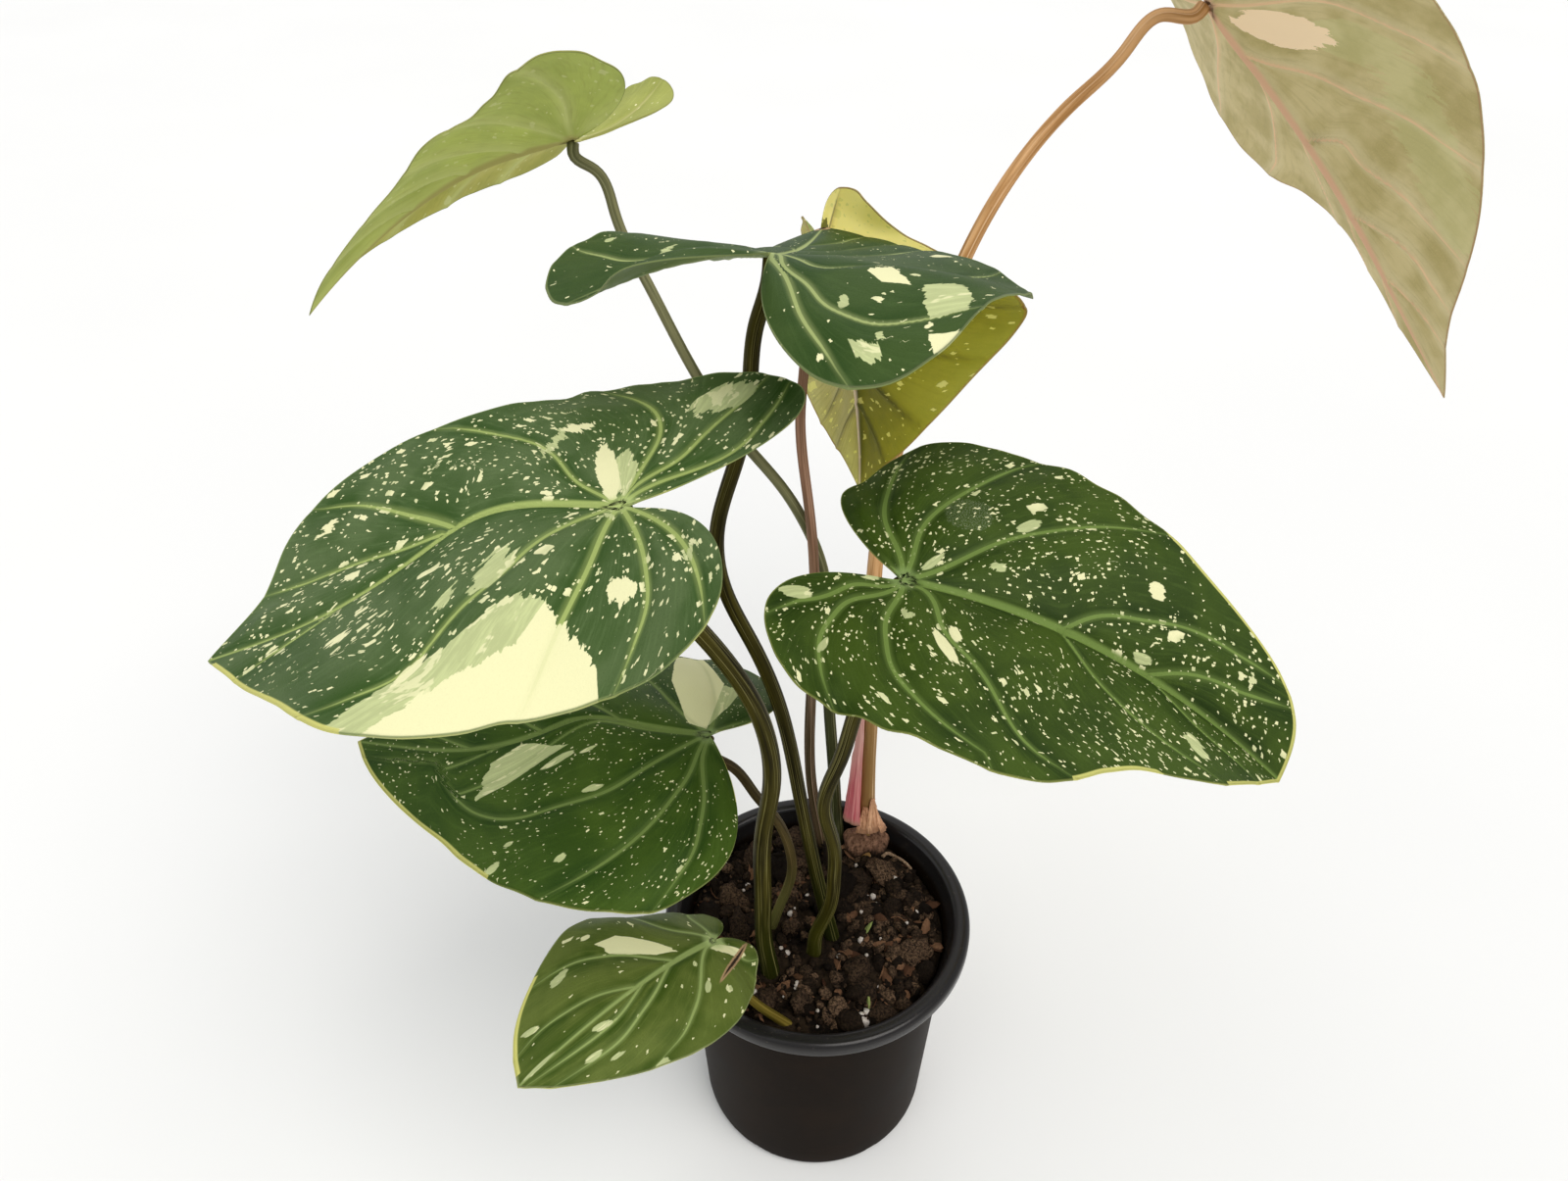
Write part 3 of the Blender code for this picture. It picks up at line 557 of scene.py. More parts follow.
def blade_grid(leaf, seed):
    """Points of the upper and lower face in mm, and what the finish reads, on a grid of columns and rings."""
    half = 90 * (1 - np.cos(np.pi * np.linspace(0, 1, HALF_COLUMNS)))
    turns = np.concatenate([-half[:0:-1], half])
    shares = np.linspace(0, 1, RINGS + 1)[1:] ** 0.85
    turn, share = np.meshgrid(turns, shares, indexing="ij")
    left = turn >= 0
    turn = np.abs(turn)
    side = np.where(left, 1.0, -1.0)
    opened = np.where(left, leaf["notch"][0], leaf["notch"][1])
    angle = np.radians(turn * (180 - opened) / 180)
    reach = both_sides(leaf, "_reach", REACH_TURNS, turn, left)
    end = both_sides(leaf, "_rise", RISE_TURNS, turn, left)
    wave = np.sin(turn / 180 * math.pi)
    radius = share * reach * (1 + REACH_WAVE * wave * lattice_noise(angle * side * 7, share * 0, seed))
    forward = radius * np.cos(angle)
    out = side * radius * np.sin(angle)
    swept = out + leaf["sweep"] * np.maximum(forward, 0) ** 2 / leaf["left_reach"][0]
    start = math.tan(math.radians(leaf["fold"])) * np.abs(np.sin(angle)) * reach
    up = start * share + (end - start) * share**2

    from_midrib = out - midrib_at(leaf, forward)
    turned = np.abs(np.arctan2(from_midrib, forward))
    left_places, right_places = (vein_place(leaf, number, turned, radius) for number in (1, -1))
    count, width = (np.where(from_midrib >= 0, *both) for both in zip(left_places, right_places))
    count += np.where(from_midrib >= 0, 0, len(leaf["left_veins"]) - len(leaf["right_veins"]))
    nearest = np.round(count)
    drawn = nearest + np.clip((count - nearest) * width / VEIN_REACH, -0.5, 0.5)
    between = count - np.floor(count)
    to_vein = np.abs(count - nearest) * width
    edge = (1 - share) * reach

    past_stalk = np.clip((radius - 4) / 12, 0, 1)
    inside = np.clip(edge / 22, 0, 1)
    swell = SWELL * past_stalk * np.sin(np.pi * between) ** 1.2
    swell = swell * np.clip(width / 12, 0, 1.3) * np.clip(edge / 10, 0.25, 1)
    valley = VALLEY * past_stalk * bell(to_vein, 1.1) * (0.35 + 0.65 * inside)
    midrib = bell(from_midrib, 1.5) * np.clip(edge / 40, 0, 1) * np.clip(radius / 8, 0, 1)
    ripple = RIPPLE * wave * share**6 * lattice_noise(angle * side * 9 + 5, share * 2, seed + 3)
    upper = up + swell - valley - MIDRIB_VALLEY * midrib + ripple
    ridge = RIDGE * past_stalk * bell(to_vein, 0.9) * (0.25 + 0.75 * inside)
    thickness = THIN + THICKER_INSIDE * inside + THICKER_AT_STALK * bell(radius, 3.2)
    lower = upper - thickness - ridge - valley * 0.4 - MIDRIB_RIDGE * midrib
    faces = [np.stack([forward, swept, height], axis=-1) for height in (upper, lower)]
    read = {"leaf": (forward, out, edge), "vein": (count, width, from_midrib), "line": (drawn, drawn, drawn)}
    return faces, {key: np.stack(numbers, axis=-1) for key, numbers in read.items()}


def leaf_axes(leaf):
    """The blade's own axes as columns: forward to its tip, left, and up from its upper face."""
    return turn_about("Z", leaf["heading"]) @ turn_about("Y", leaf["pitch"]) @ turn_about("X", leaf["roll"])


def blade_mesh(name, leaf, seed):
    """The upper and lower grids with a centre point each, closed round margin and notch by a narrow rim."""
    faces, read = blade_grid(leaf, seed)
    columns, rings = faces[0].shape[:2]
    centres = np.array([[0, 0, 0], [0, 0, -LOWER_CENTRE]], float)
    flat = np.concatenate([centres[:1], faces[0].reshape(-1, 3), centres[1:], faces[1].reshape(-1, 3)])
    points = (np.array(leaf["junction"]) + flat @ leaf_axes(leaf).T) * MM
    count = 1 + columns * rings
    top = grid_quads(columns, rings, 1)[:, ::-1]
    first = 1 + np.arange(columns - 1) * rings
    fan = np.stack([np.zeros_like(first), first, first + rings], axis=-1)
    loop = np.concatenate([[0], np.arange(rings) + 1, 1 + np.arange(1, columns) * rings + rings - 1,
                           1 + (columns - 1) * rings + np.arange(rings - 2, -1, -1)])
    after = np.roll(loop, -1)
    rim = np.stack([loop, loop + count, after + count, after], axis=-1)
    quads = np.concatenate([top, top[:, ::-1] + count, rim])
    mesh = make_mesh("blade_" + name, points, quads, np.concatenate([fan, fan[:, ::-1] + count]))
    under = np.zeros(len(mesh.polygons), np.int32)
    under[len(top):2 * len(top)] = 1
    under[len(quads) + len(fan):] = 1
    mesh.polygons.foreach_set("material_index", under)
    sharp = mesh.attributes.new("sharp_face", "BOOLEAN", "FACE")
    flags = np.zeros(len(mesh.polygons), bool)
    flags[2 * len(top):len(quads)] = True
    sharp.data.foreach_set("value", flags)
    for key, numbers in read.items():
        one_face = np.concatenate([[AT_CENTRE[key]], numbers.reshape(-1, 3)])
        store(mesh, key, np.concatenate([one_face, one_face]))
    return mesh


print("blade grid:", 2 * HALF_COLUMNS - 1, "columns by", RINGS, "rings")

# %% [markdown]
# The upper face of a real blade is a dark velvety green with pale veins, a thin margin and hundreds of cream
# flecks, which follow the way the tissue grew. An image would show them well but would fit only one leaf. So
# the flecks are a cell pattern drawn in the leaf's own directions, along and across the veins, and the
# larger sectors are ovals and straight-sided outlines whose edges are pulled out into teeth. The green itself
# is deeper beside the veins and paler on the swells between them, with fine parallel lines. That is partly
# the blade's own tone and partly painted light: a painted velvet sheen on the swells and painted shade in the
# sunken valleys beside the veins.

# %% The directions of growth
CREAM = (0.80, 0.77, 0.44)
SAGE = (0.45, 0.49, 0.23)
GOLD = (0.60, 0.58, 0.17)
SCUFF_AND_SHEEN = (0.36, 0.40, 0.26)
DRY_EDGE = (0.42, 0.27, 0.14)
DRY_CORE = (0.035, 0.018, 0.010)
LANES, VEIN_SHIFT, SIDE_SHIFT = 9, 37, 40


def growth(finish, seed):
    """What a blade keeps at each point, in mm, and two coordinates that follow its veins.

    The line number is whole on a vein and changes evenly on both sides of it, so that veins are drawn
    smoothly. across is the distance from the nearest vein, shifted by a step of its own for each vein, and
    lanes is the count of veins made finer, which runs on evenly from one vein to the next.
    """
    x, y, edge = finish.attribute("leaf")
    count, width, from_midrib = finish.attribute("vein")
    radius = (x * x + y * y) ** 0.5
    side = from_midrib.step(-0.01, 0.01) * SIDE_SHIFT
    nearest = (count + 0.5).floor()
    beside = (count - nearest) * width
    line = finish.attribute("line")[0]
    to_vein = abs(line - (line + 0.5).floor()) * VEIN_REACH
    return SimpleNamespace(x=x, y=y, edge=edge, radius=radius, seed=seed, to_vein=to_vein,
                           to_midrib=abs(from_midrib), across=beside + nearest * VEIN_SHIFT + side * LANES,
                           lanes=count * LANES + side)


def flecks(finish, place, number, size, length, amount, density):
    """Cells drawn along the veins. A share of them hold a fleck, and the cell's own number says how large.

    The amount, which is more than nothing, is that share where the density is 1.
    """
    shift = place.seed + number * 31
    wobble = finish.cloud(place.across * (1.1 / size) + shift, place.radius * (0.8 / size), 2.0, 0.55)
    across, along = place.across / size + wobble * 0.6 + shift, place.radius / (size * length) + wobble * 0.4
    near, own = finish.cells(across, along)
    reach = ((own - 1 + density * amount) * (0.5 / amount)).smaller(0.5)
    return (reach - near).step(-0.01, 0.06)


def line_level(finish, spot, a, b, c):
    """a * x + b * y + c at a spot of (x, y, 1), as one node."""
    return finish.node("ShaderNodeVectorMath", {"operation": "DOT_PRODUCT"}, {0: spot, 1: (a, b, c)}, "Value")


def oval_level(finish, spot, x, y, long, wide, degrees):
    """How deep inside an oval the spot is, in mm."""
    c, s = math.cos(math.radians(degrees)), math.sin(math.radians(degrees))
    forward = line_level(finish, spot, c / long, s / long, -(x * c + y * s) / long)
    sideways = line_level(finish, spot, -s / wide, c / wide, (x * s - y * c) / wide)
    return (1 - (forward * forward + sideways * sideways) ** 0.5) * min(long, wide)


def corner_level(finish, spot, corners):
    """How deep inside a convex outline the spot is, in mm. The corners run counter-clockwise."""
    deepest = None
    for (x, y), (next_x, next_y) in zip(corners, corners[1:] + corners[:1]):
        across = math.hypot(next_x - x, next_y - y)
        a, b = (y - next_y) / across, (next_x - x) / across
        level = line_level(finish, spot, a, b, -a * x - b * y)
        deepest = level if deepest is None else deepest.smaller(level)
    return deepest


def sectors(finish, place, tear, shapes):
    """A mask of shapes on the flat blade, with torn ends. A shape is an oval's numbers or its corners."""
    pulled = tear / place.radius.larger(4.0) + 1
    spot = finish.point(place.x * pulled, place.y * pulled, 1.0)
    best = None
    for shape in shapes:
        corners = isinstance(shape[0], tuple)
        level = corner_level(finish, spot, shape) if corners else oval_level(finish, spot, *shape)
        best = level if best is None else best.larger(level)
    return best.step(-0.10, 0.10)


def torn(finish, place, reach):
    """How far a sector's end is pulled along the veins, in mm: broad teeth with fine ones on them."""
    broad = finish.cloud(place.across * 0.55 + place.seed, place.radius * 0.06, 1.0)
    fine = finish.cloud(place.across * 1.9 + place.seed, place.radius * 0.45, 2.0, 0.65)
    return (broad - 0.5) * reach + (fine - 0.5) * (reach * 0.55)


def vein_lines(place, vein_width, sharp):
    """Masks of the side veins, of the glow beside them, of the midrib and of the knot at the junction."""
    taper = (place.radius * -0.010 + 1.25).larger(0.5) * (place.edge.step(0.0, 14.0) * 0.6 + 0.4)
    half = taper * vein_width
    strength = (place.edge.step(0.3, 9.0) * 0.6 + 0.4) * place.radius.step(1.0, 3.0)
    line = (place.to_vein - half).step(sharp, -0.6 * sharp) * strength
    glow = (place.to_vein - half * 1.4).step(0.9, -0.2) * strength
    midrib = (place.to_midrib - (place.edge.step(0.0, 70.0) * 0.85 + 0.15)).step(0.5, -0.25)
    knot = place.radius.step(4.6, 1.8)
    return line, glow, midrib, knot


# %% The upper face
def upper_finish(name, seed, green, deep, vein, margin, cream=(), sage=(), brown=(), gold=(), scuffs=(),
                 dust=0.20, small=0.15, medium=0.05, grain_size=1.0, vein_width=0.42, tear=7.0):
    """Two greens with fine lines, then flecks, sectors, veins and the margin, in the leaf's own colours.
    The greens hold painted sheen and shade, and the scuffs are partly a painted highlight.
    """
    finish = Finish(name, Roughness=0.55, Specular_IOR_Level=0.13)
    place = growth(finish, seed)
    x, y, edge, radius = place.x, place.y, place.edge, place.radius
    cloud = finish.cloud(place.lanes * 0.10 + seed, radius * 0.05, 3.0, 0.6)
    drift = finish.cloud(x * 0.06 + seed, y * 0.06, 2.0)
    lines = finish.cloud(place.lanes * 2.4 + seed, radius * 0.10, 3.0, 0.65)
    grain = finish.cloud(x * 2.2 + seed, y * 2.2, 3.0, 0.7)

    # Partly painted light: the paler swells stand for a velvet sheen, and the deeper green beside the veins
    # for shade in the sunken valleys.
    swell = (cloud.step(0.32, 0.68) * 0.75 + place.to_vein.step(0.6, 4.5) * 0.40).smaller(1.0)
    colour = finish.mix(swell, deep, green)
    colour = finish.mix(lines.step(0.48, 0.75) * 0.30, colour, [c * 1.45 + 0.008 for c in green])
    colour = finish.mix(grain.step(0.52, 0.8) * 0.30, colour, [c * 0.6 for c in deep])

    density = (cloud * 0.5 + drift).step(0.45, 1.05) * 0.7 + 0.6
    marks = flecks(finish, place, 1, 0.72 * grain_size, 1.7, dust, density)
    marks = marks.larger(flecks(finish, place, 2, 1.55 * grain_size, 2.0, small, density))
    if medium:
        marks = marks.larger(flecks(finish, place, 3, 3.3, 1.5, medium, density))
    tone = finish.cloud(place.lanes * 0.3 + seed, radius * 0.2, 1.0).step(0.30, 0.55)
    fleck = finish.mix(tone, [a * 0.55 + b * 0.45 for a, b in zip(SAGE, CREAM)], CREAM)
    colour = finish.mix(marks, colour, fleck)

    teeth = torn(finish, place, tear)
    pale = None
    if sage:
        pale = sectors(finish, place, teeth, sage)
        streaks = finish.cloud(place.lanes * 0.6 + seed, radius * 0.11, 3.0, 0.65)
        pale_green = finish.mix(lines.step(0.4, 0.7), SAGE, [c * 1.2 for c in SAGE])
        colour = finish.mix(pale, colour, finish.mix(streaks.step(0.57, 0.62) * 0.7, pale_green, CREAM))
    if cream:
        bright = sectors(finish, place, teeth * 0.8, cream)
        mottled = finish.mix(grain.step(0.5, 0.9) * 0.5, CREAM, [c * 0.88 for c in CREAM])
        colour = finish.mix(bright, colour, mottled)
        pale = bright if pale is None else pale.larger(bright)
    line, glow, midrib, knot = vein_lines(place, vein_width, 0.14)
    drawn = (glow * 0.34).larger(line * 0.9).larger(midrib * 0.95)
    if pale is not None:
        drawn = drawn * (1 - pale * 0.8)
    colour = finish.mix(drawn, colour, vein)
    colour = finish.mix(knot * 0.7, colour, [c * 1.2 + 0.05 for c in vein])
    # Partly real scuffing and partly a painted highlight: a silvery sheen speckled near the blade's middle.
    if scuffs:
        speckle = finish.cloud(x * 3.0 + seed, y * 3.0, 3.0, 0.8).step(0.51, 0.62)
        colour = finish.mix(sectors(finish, place, teeth, scuffs) * speckle * 0.42, colour, SCUFF_AND_SHEEN)
    rim = edge + (drift - 0.5) * 0.5
    colour = finish.mix(rim.step(0.50, 0.15) * 0.8, colour, margin)
    if gold:
        colour = finish.mix((rim - sectors(finish, place, teeth * 0.2, gold)).step(0.1, -0.3), colour, GOLD)
    if brown:
        dry = sectors(finish, place, teeth * 0.2, brown)
        core = sectors(finish, place, teeth * 0.2, [(a, b, c * 0.8, d * 0.42, e) for a, b, c, d, e in brown])
        colour = finish.mix(dry, colour, DRY_EDGE)
        colour = finish.mix(core, colour, DRY_CORE)

    fuzz = finish.noise(finish.spot(), 2600.0, 2.0)
    fibres = place.to_vein.step(0.0, 0.9) * 0.5 + lines * 0.22
    height = fibres * radius.step(2.5, 9.0) + grain * 0.18 + fuzz * 0.10
    rough = grain * 0.16 + 0.49 + marks * 0.05
    return finish.feed(Base_Color=colour, Roughness=rough, Normal=finish.bump(height, 0.00035, 0.75))


# %% [markdown]
# The underside is paler and duller than the top. Its veins stand out as ridges, and the flecks of the upper
# face show through as soft pale blots. Light comes through a blade too. On the young one, which hangs with
# the light behind it, that is real scattering under the surface, and its pale lobe is also painted brighter,
# as painted light coming through. On the other two at the back that light is only painted: their colour is
# set brighter.

# %% The underside
def under_finish(name, seed, green, deep, vein, margin, midrib_colour=None, band=None, blot=None, blots=0.3,
                 vein_width=0.5, vein_share=0.9, left=None, patches=(), through=0.0):
    """Two dull greens, which may differ on the left half and beside the veins, then patches, blots, veins."""
    finish = Finish(name, Roughness=0.6, Specular_IOR_Level=0.12, Subsurface_Weight=through,
                    Subsurface_Scale=0.004, Subsurface_Radius=(1.0, 0.9, 0.3))
    place = growth(finish, seed)
    x, y, edge, radius = place.x, place.y, place.edge, place.radius
    cloud = finish.cloud(x * 0.05 + seed, y * 0.05, 3.0, 0.6)
    lines = finish.cloud(place.lanes * 2.0 + seed, radius * 0.10, 3.0, 0.6)
    grain = finish.cloud(x * 1.6 + seed, y * 1.6, 3.0, 0.7)
    colour = finish.mix(cloud.step(0.32, 0.68), deep, green)
    if left:
        half = finish.mix(cloud.step(0.3, 0.7), [c * 0.8 for c in left], left)
        colour = finish.mix(y.step(-0.8, 0.8) * 0.9, colour, half)
    if band:
        beside = place.to_vein.step(4.5, 0.6) * radius.step(4.0, 14.0)
        colour = finish.mix(beside * 0.55, colour, band)
    colour = finish.mix(lines.step(0.45, 0.8) * 0.30, colour, [c * 0.72 for c in deep])
    colour = finish.mix(grain.step(0.5, 0.8) * 0.18, colour, [c * 1.3 for c in green])
    for patch_colour, share, reach, ovals in patches:
        teeth = torn(finish, place, reach)
        colour = finish.mix(sectors(finish, place, teeth, ovals) * share, colour, patch_colour)
    if blot:
        density = cloud.step(0.3, 0.7) * 0.6 + 0.5
        soft = flecks(finish, place, 5, 3.0, 1.7, blots * 0.6, density)
        fine = flecks(finish, place, 7, 1.2, 1.7, blots, density)
        colour = finish.mix(soft.larger(fine) * 0.65, colour, blot)
    line, glow, midrib, knot = vein_lines(place, vein_width, 0.3)
    colour = finish.mix((glow * 0.30).larger(line * vein_share), colour, vein)
    colour = finish.mix(midrib.larger(knot), colour, midrib_colour or vein)
    colour = finish.mix(edge.step(0.7, 0.2), colour, margin)
    height = (place.to_vein.step(1.2, 0.0) * 0.5 + lines * 0.25) * radius.step(2.5, 9.0) + grain * 0.2
    return finish.feed(Base_Color=colour, Roughness=grain * 0.15 + 0.5,
                       Normal=finish.bump(height, 0.0003, 0.7))


print("leaf finishes ready")

# %% [markdown]
# Now the eight blades get their own colours and markings, first of the upper face and then of the underside.
# The sectors are placed on the flat blade, in millimetres forward of the junction and left of the midrib. An
# oval is a place, half its length, half its width and a turn in degrees. An outline is a list of corners.

# %% The blades
PALE_UNDER = dict(green=(0.17, 0.23, 0.08), deep=(0.12, 0.18, 0.05), vein=(0.34, 0.40, 0.18),
                  margin=(0.30, 0.32, 0.14), blot=(0.36, 0.40, 0.18), blots=0.25)

# The young lobe's pale yellow, set to full brightness: partly its own colour, partly painted light coming
# through it.
YOUNG_LOBE_LIT_THROUGH = ((-11, -30, 25, 15, -55),)
# Painted light on the old blade's underside: a brighter zone by its right margin and a silvery sheen beside
# the peach patch.
OLD_PAINTED_LIGHT = ((75, -38, 36, 9, 10), (36, -37, 16, 8, -50))
OLD_PATCH = ((21, -17, 17, 6.5, -48),)

BLADE_LOOKS = {
    "front_left": (
        dict(green=(0.086, 0.132, 0.044), deep=(0.032, 0.074, 0.010), vein=(0.36, 0.44, 0.13),
             margin=(0.20, 0.26, 0.09),
             cream=(((2, 43), (12, 30), (17, 39), (13, 80), (2, 70)),
                    ((12, 38), (18, 40), (46, 54), (40, 80), (12, 80)), (3.5, -12, 10, 2.4, 100),
                    (-3, 29.5, 3.2, 3, 0), (36, 41, 4, 1.4, 45), (12, -31, 3.6, 1.8, 0),
                    (56.5, 23, 2.4, 1.4, 60), (70.5, -20.5, 3.2, 1.4, 30)),
             sage=(((8, 44), (12, 29), (19, 28), (34, 42), (30, 80), (8, 80)),
                   ((28, 37), (54, 50), (58, 80), (28, 80)), (0, -11, 8, 2.6, 90),
                   (-22.5, -33, 8.5, 4.4, 24), (2.5, 5, 2.6, 1, -30), (-16.8, 25.5, 2.4, 1.1, 60),
                   (33, 23, 4.5, 1.2, 78), (24, 16.5, 7.5, 3.2, 75), (17, -27, 6, 1.5, 62)),
             gold=((73, 29, 34, 13, -47),), dust=0.17, small=0.10, medium=0.022), PALE_UNDER),
    "front_right": (
        dict(green=(0.046, 0.080, 0.007), deep=(0.016, 0.036, 0.002), vein=(0.17, 0.25, 0.055),
             margin=(0.22, 0.25, 0.06),
             cream=((11, -21.5, 5.5, 1.7, -62), (13, -16, 2.6, 1.1, -70), (60, 16, 2.2, 1.7, 0)),
             sage=((6, 6, 2.8, 1, 50), (28, 23, 4, 1.3, 40), (21, 8, 1.8, 1.2, 0), (72, -15, 3.2, 2.6, -30),
                   (2, -13, 1.6, 1.4, 0), (-23, -16, 4.5, 1.6, 25), (-15, -28, 2.2, 0.9, 70),
                   (-7, -2, 2, 0.8, 30), (59, 2, 2.8, 0.8, 10)),
             gold=((98, 0, 30, 24, 0), (60, -44, 22, 12, 0), (80, 30, 24, 12, -30)),
             # The scuff oval is partly a painted highlight, a silvery sheen near the middle.
             scuffs=((13, 22, 6, 5, 0),),
             dust=0.16, small=0.050, medium=0.005, grain_size=0.80, vein_width=0.5, tear=4.0), PALE_UNDER),
    "top_middle": (
        dict(green=(0.042, 0.078, 0.014), deep=(0.022, 0.054, 0.006), vein=(0.36, 0.42, 0.15),
             margin=(0.20, 0.24, 0.09),
             cream=(((-19, -23), (-24, -27), (-25, -33), (-16, -28)), ((-39, -38), (-44, -40), (-38, -50)),
                    (39, -37, 6, 2, -18), (6, 8, 3, 1, 40), (-37, -38, 1.2, 0.8, 0), (-43, -18, 1, 0.6, 0)),
             sage=(((-25, -36), (-30, -36), (-35, -38), (-32, -45), (-28, -46), (-23, -44)),
                   (-40, -29, 1.4, 0.7, 0), ((-41, -23), (-44, -25), (-45, -28), (-44, -30), (-42, -29)),
                   (-30, -20, 1.6, 1.1, 0), (12, 42, 2, 1.4, 0), (-3, 24, 4, 0.9, -20)),
             brown=((90, 0, 3, 2.4, 0),), dust=0.03, small=0.012, medium=0.0, grain_size=0.8, vein_width=0.38,
             tear=3.0), PALE_UNDER),
    "young_hanging": (
        dict(green=(0.26, 0.28, 0.06), deep=(0.20, 0.24, 0.05), vein=(0.45, 0.45, 0.20),
             margin=(0.30, 0.20, 0.08)),
        dict(green=(0.12, 0.122, 0.016), deep=(0.080, 0.088, 0.011), vein=(0.06, 0.06, 0.012),
             margin=(0.16, 0.07, 0.03),
             midrib_colour=(0.62, 0.50, 0.38), left=(0.36, 0.33, 0.145), blot=(0.62, 0.58, 0.18), blots=0.24,
             # The lobe patch is partly painted light coming through the blade.
             vein_width=0.28, vein_share=0.7, patches=(((1.0, 0.82, 0.28), 0.95, 6.0, YOUNG_LOBE_LIT_THROUGH),),
             through=0.42)),
    "back_left": (
        dict(green=(0.36, 0.38, 0.09), deep=(0.28, 0.30, 0.06), vein=(0.46, 0.44, 0.16),
             margin=(0.30, 0.30, 0.09), dust=0.02, small=0.02, medium=0.0),
        # Painted light: this underside's colours are set brighter for the light that comes through the blade.
        dict(green=(0.50, 0.48, 0.10), deep=(0.38, 0.38, 0.07), vein=(0.58, 0.62, 0.22),
             margin=(0.24, 0.28, 0.06),
             midrib_colour=(0.42, 0.38, 0.12), blot=(0.66, 0.68, 0.30), blots=0.10, vein_share=0.45,
             left=(0.50, 0.59, 0.13), band=(0.60, 0.64, 0.21))),
    "back_right": (
        dict(green=(0.14, 0.15, 0.05), deep=(0.09, 0.11, 0.035), vein=(0.42, 0.30, 0.18),
             margin=(0.4, 0.33, 0.16)),
        # Painted light: this underside's colours are set brighter for the light that comes through the blade.
        dict(green=(0.62, 0.52, 0.26), deep=(0.46, 0.38, 0.155), vein=(0.84, 0.55, 0.32),
             margin=(0.50, 0.30, 0.15),
             midrib_colour=(0.74, 0.46, 0.29), band=(0.72, 0.62, 0.36), vein_share=0.8,
             # The first patch is painted light: a brighter zone and a silvery sheen.
             patches=(((0.60, 0.62, 0.28), 0.30, 16.0, OLD_PAINTED_LIGHT),
                      ((1.0, 0.77, 0.50), 0.95, 8.0, OLD_PATCH)))),
    "low_left": (
        dict(green=(0.052, 0.096, 0.009), deep=(0.019, 0.050, 0.003), vein=(0.17, 0.24, 0.06),
             margin=(0.20, 0.24, 0.06),
             cream=(((1, -2), (1, -31), (11, -52), (19, -49), (16, -26), (7, -4)),),
             sage=(((37, 8.5), (49, 8), (57, 13), (57.5, 22), (50, 19)), (38, 13, 4.2, 1.1, 35),
                   (30.5, 10, 2.2, 0.6, 30), (26, 21, 2.6, 1, 25), (44, 36, 1.2, 0.7, 30),
                   (46, 41, 1.8, 1.1, 40), (29, 40, 1.4, 0.8, 30),
                   ((1, -4), (-3, -17), (-5, -29), (3, -30), (3, -8))),
             gold=((95, 20, 30, 24, 0), (70, 40, 24, 14, 0), (-6, 12, 10, 5, -55)), dust=0.075, small=0.010,
             medium=0.0, grain_size=0.60, vein_width=0.45, tear=2.6), PALE_UNDER),
    "small_low": (
        dict(green=(0.115, 0.150, 0.026), deep=(0.036, 0.070, 0.003), vein=(0.30, 0.38, 0.12),
             margin=(0.26, 0.30, 0.12),
             cream=(((26, -15), (18, -5), (13, -2), (16, -9), (22, -19), (27, -21)),
                    (-3, 4.5, 6.5, 1.5, -23), (27, -25, 1.2, 0.9, 0)),
             sage=((38.5, -19, 3, 1.3, 20), (51, -11, 1.8, 1, -20), (40, 3, 2.4, 1, -20),
                   (45, 8, 2.2, 0.8, -10), (40, 12, 1.8, 0.6, -10), (33, 22, 2.2, 1.2, 0),
                   (55, -0.3, 4, 0.6, 0), (12, 12, 2, 0.9, 50), (7, 16, 1.2, 1, 0), (11, 4, 0.8, 0.8, 0)),
             brown=((-2, 8.5, 11, 1, 23),), gold=((50, -14, 24, 12, 0),), dust=0.03, small=0.012, medium=0.0,
             vein_width=0.36, tear=2.0), PALE_UNDER),
}

for number, (name, leaf) in enumerate(LEAVES.items()):
    upper_look, lower_look = BLADE_LOOKS[name]
    seed = 20.0 * number + 3
    finishes = [upper_finish("top of " + name, seed, **upper_look),
                under_finish("underside of " + name, seed, **lower_look)]
    place_piece("leaf_" + name, blade_mesh(name, leaf, number), finishes, ["blade_" + name])

# %% [markdown]
# A stalk is a firm round stem that leaves the soil, leans and curves to its blade. It is a ring of points
# carried along the smooth curve of the solid's own points. It thickens a little where it enters the soil
# and again in the last centimetre under the blade, as these stalks do. Its skin has fine pale lines along
# its length, so each point keeps its place round the stem and its distance from the soil.

# %% Rings along a line
def lengths_along(line):
    """How far along the line each of its points is."""
    return np.concatenate([[0], np.cumsum(np.linalg.norm(np.diff(line, axis=0), axis=1))])


def square_to(ahead):
    """Two directions that are square to each direction ahead, and to each other."""
    ahead = ahead / np.linalg.norm(ahead, axis=1, keepdims=True)
    across = np.cross(ahead, (0.0, 1.0, 0.0))
    across /= np.linalg.norm(across, axis=1, keepdims=True)
    return across, np.cross(across, ahead)


def line_of(leaf):
    """The stalk's points in mm: straight in the soil, along its way, and square to the blade at the top."""
    foot = np.array(leaf["foot"], float)
    path = np.array(leaf["path"], float)
    rising = (path[0] - foot) / np.linalg.norm(path[0] - foot)
    droop = max(0.0, -math.tan(math.radians(leaf["fold"]))) * leaf["radii"][1]
    under = BLADE_THICKNESS + GAP / MM + droop
    top = np.array(leaf["junction"]) - np.outer([under + KNEE, under], leaf_axes(leaf)[:, 2])
    buried = foot - np.outer([STALK_DEPTH_IN_SOIL, STALK_DEPTH_IN_SOIL / 2, 0, -STALK_STRAIGHT], rising)
    return np.concatenate([buried, path, top])


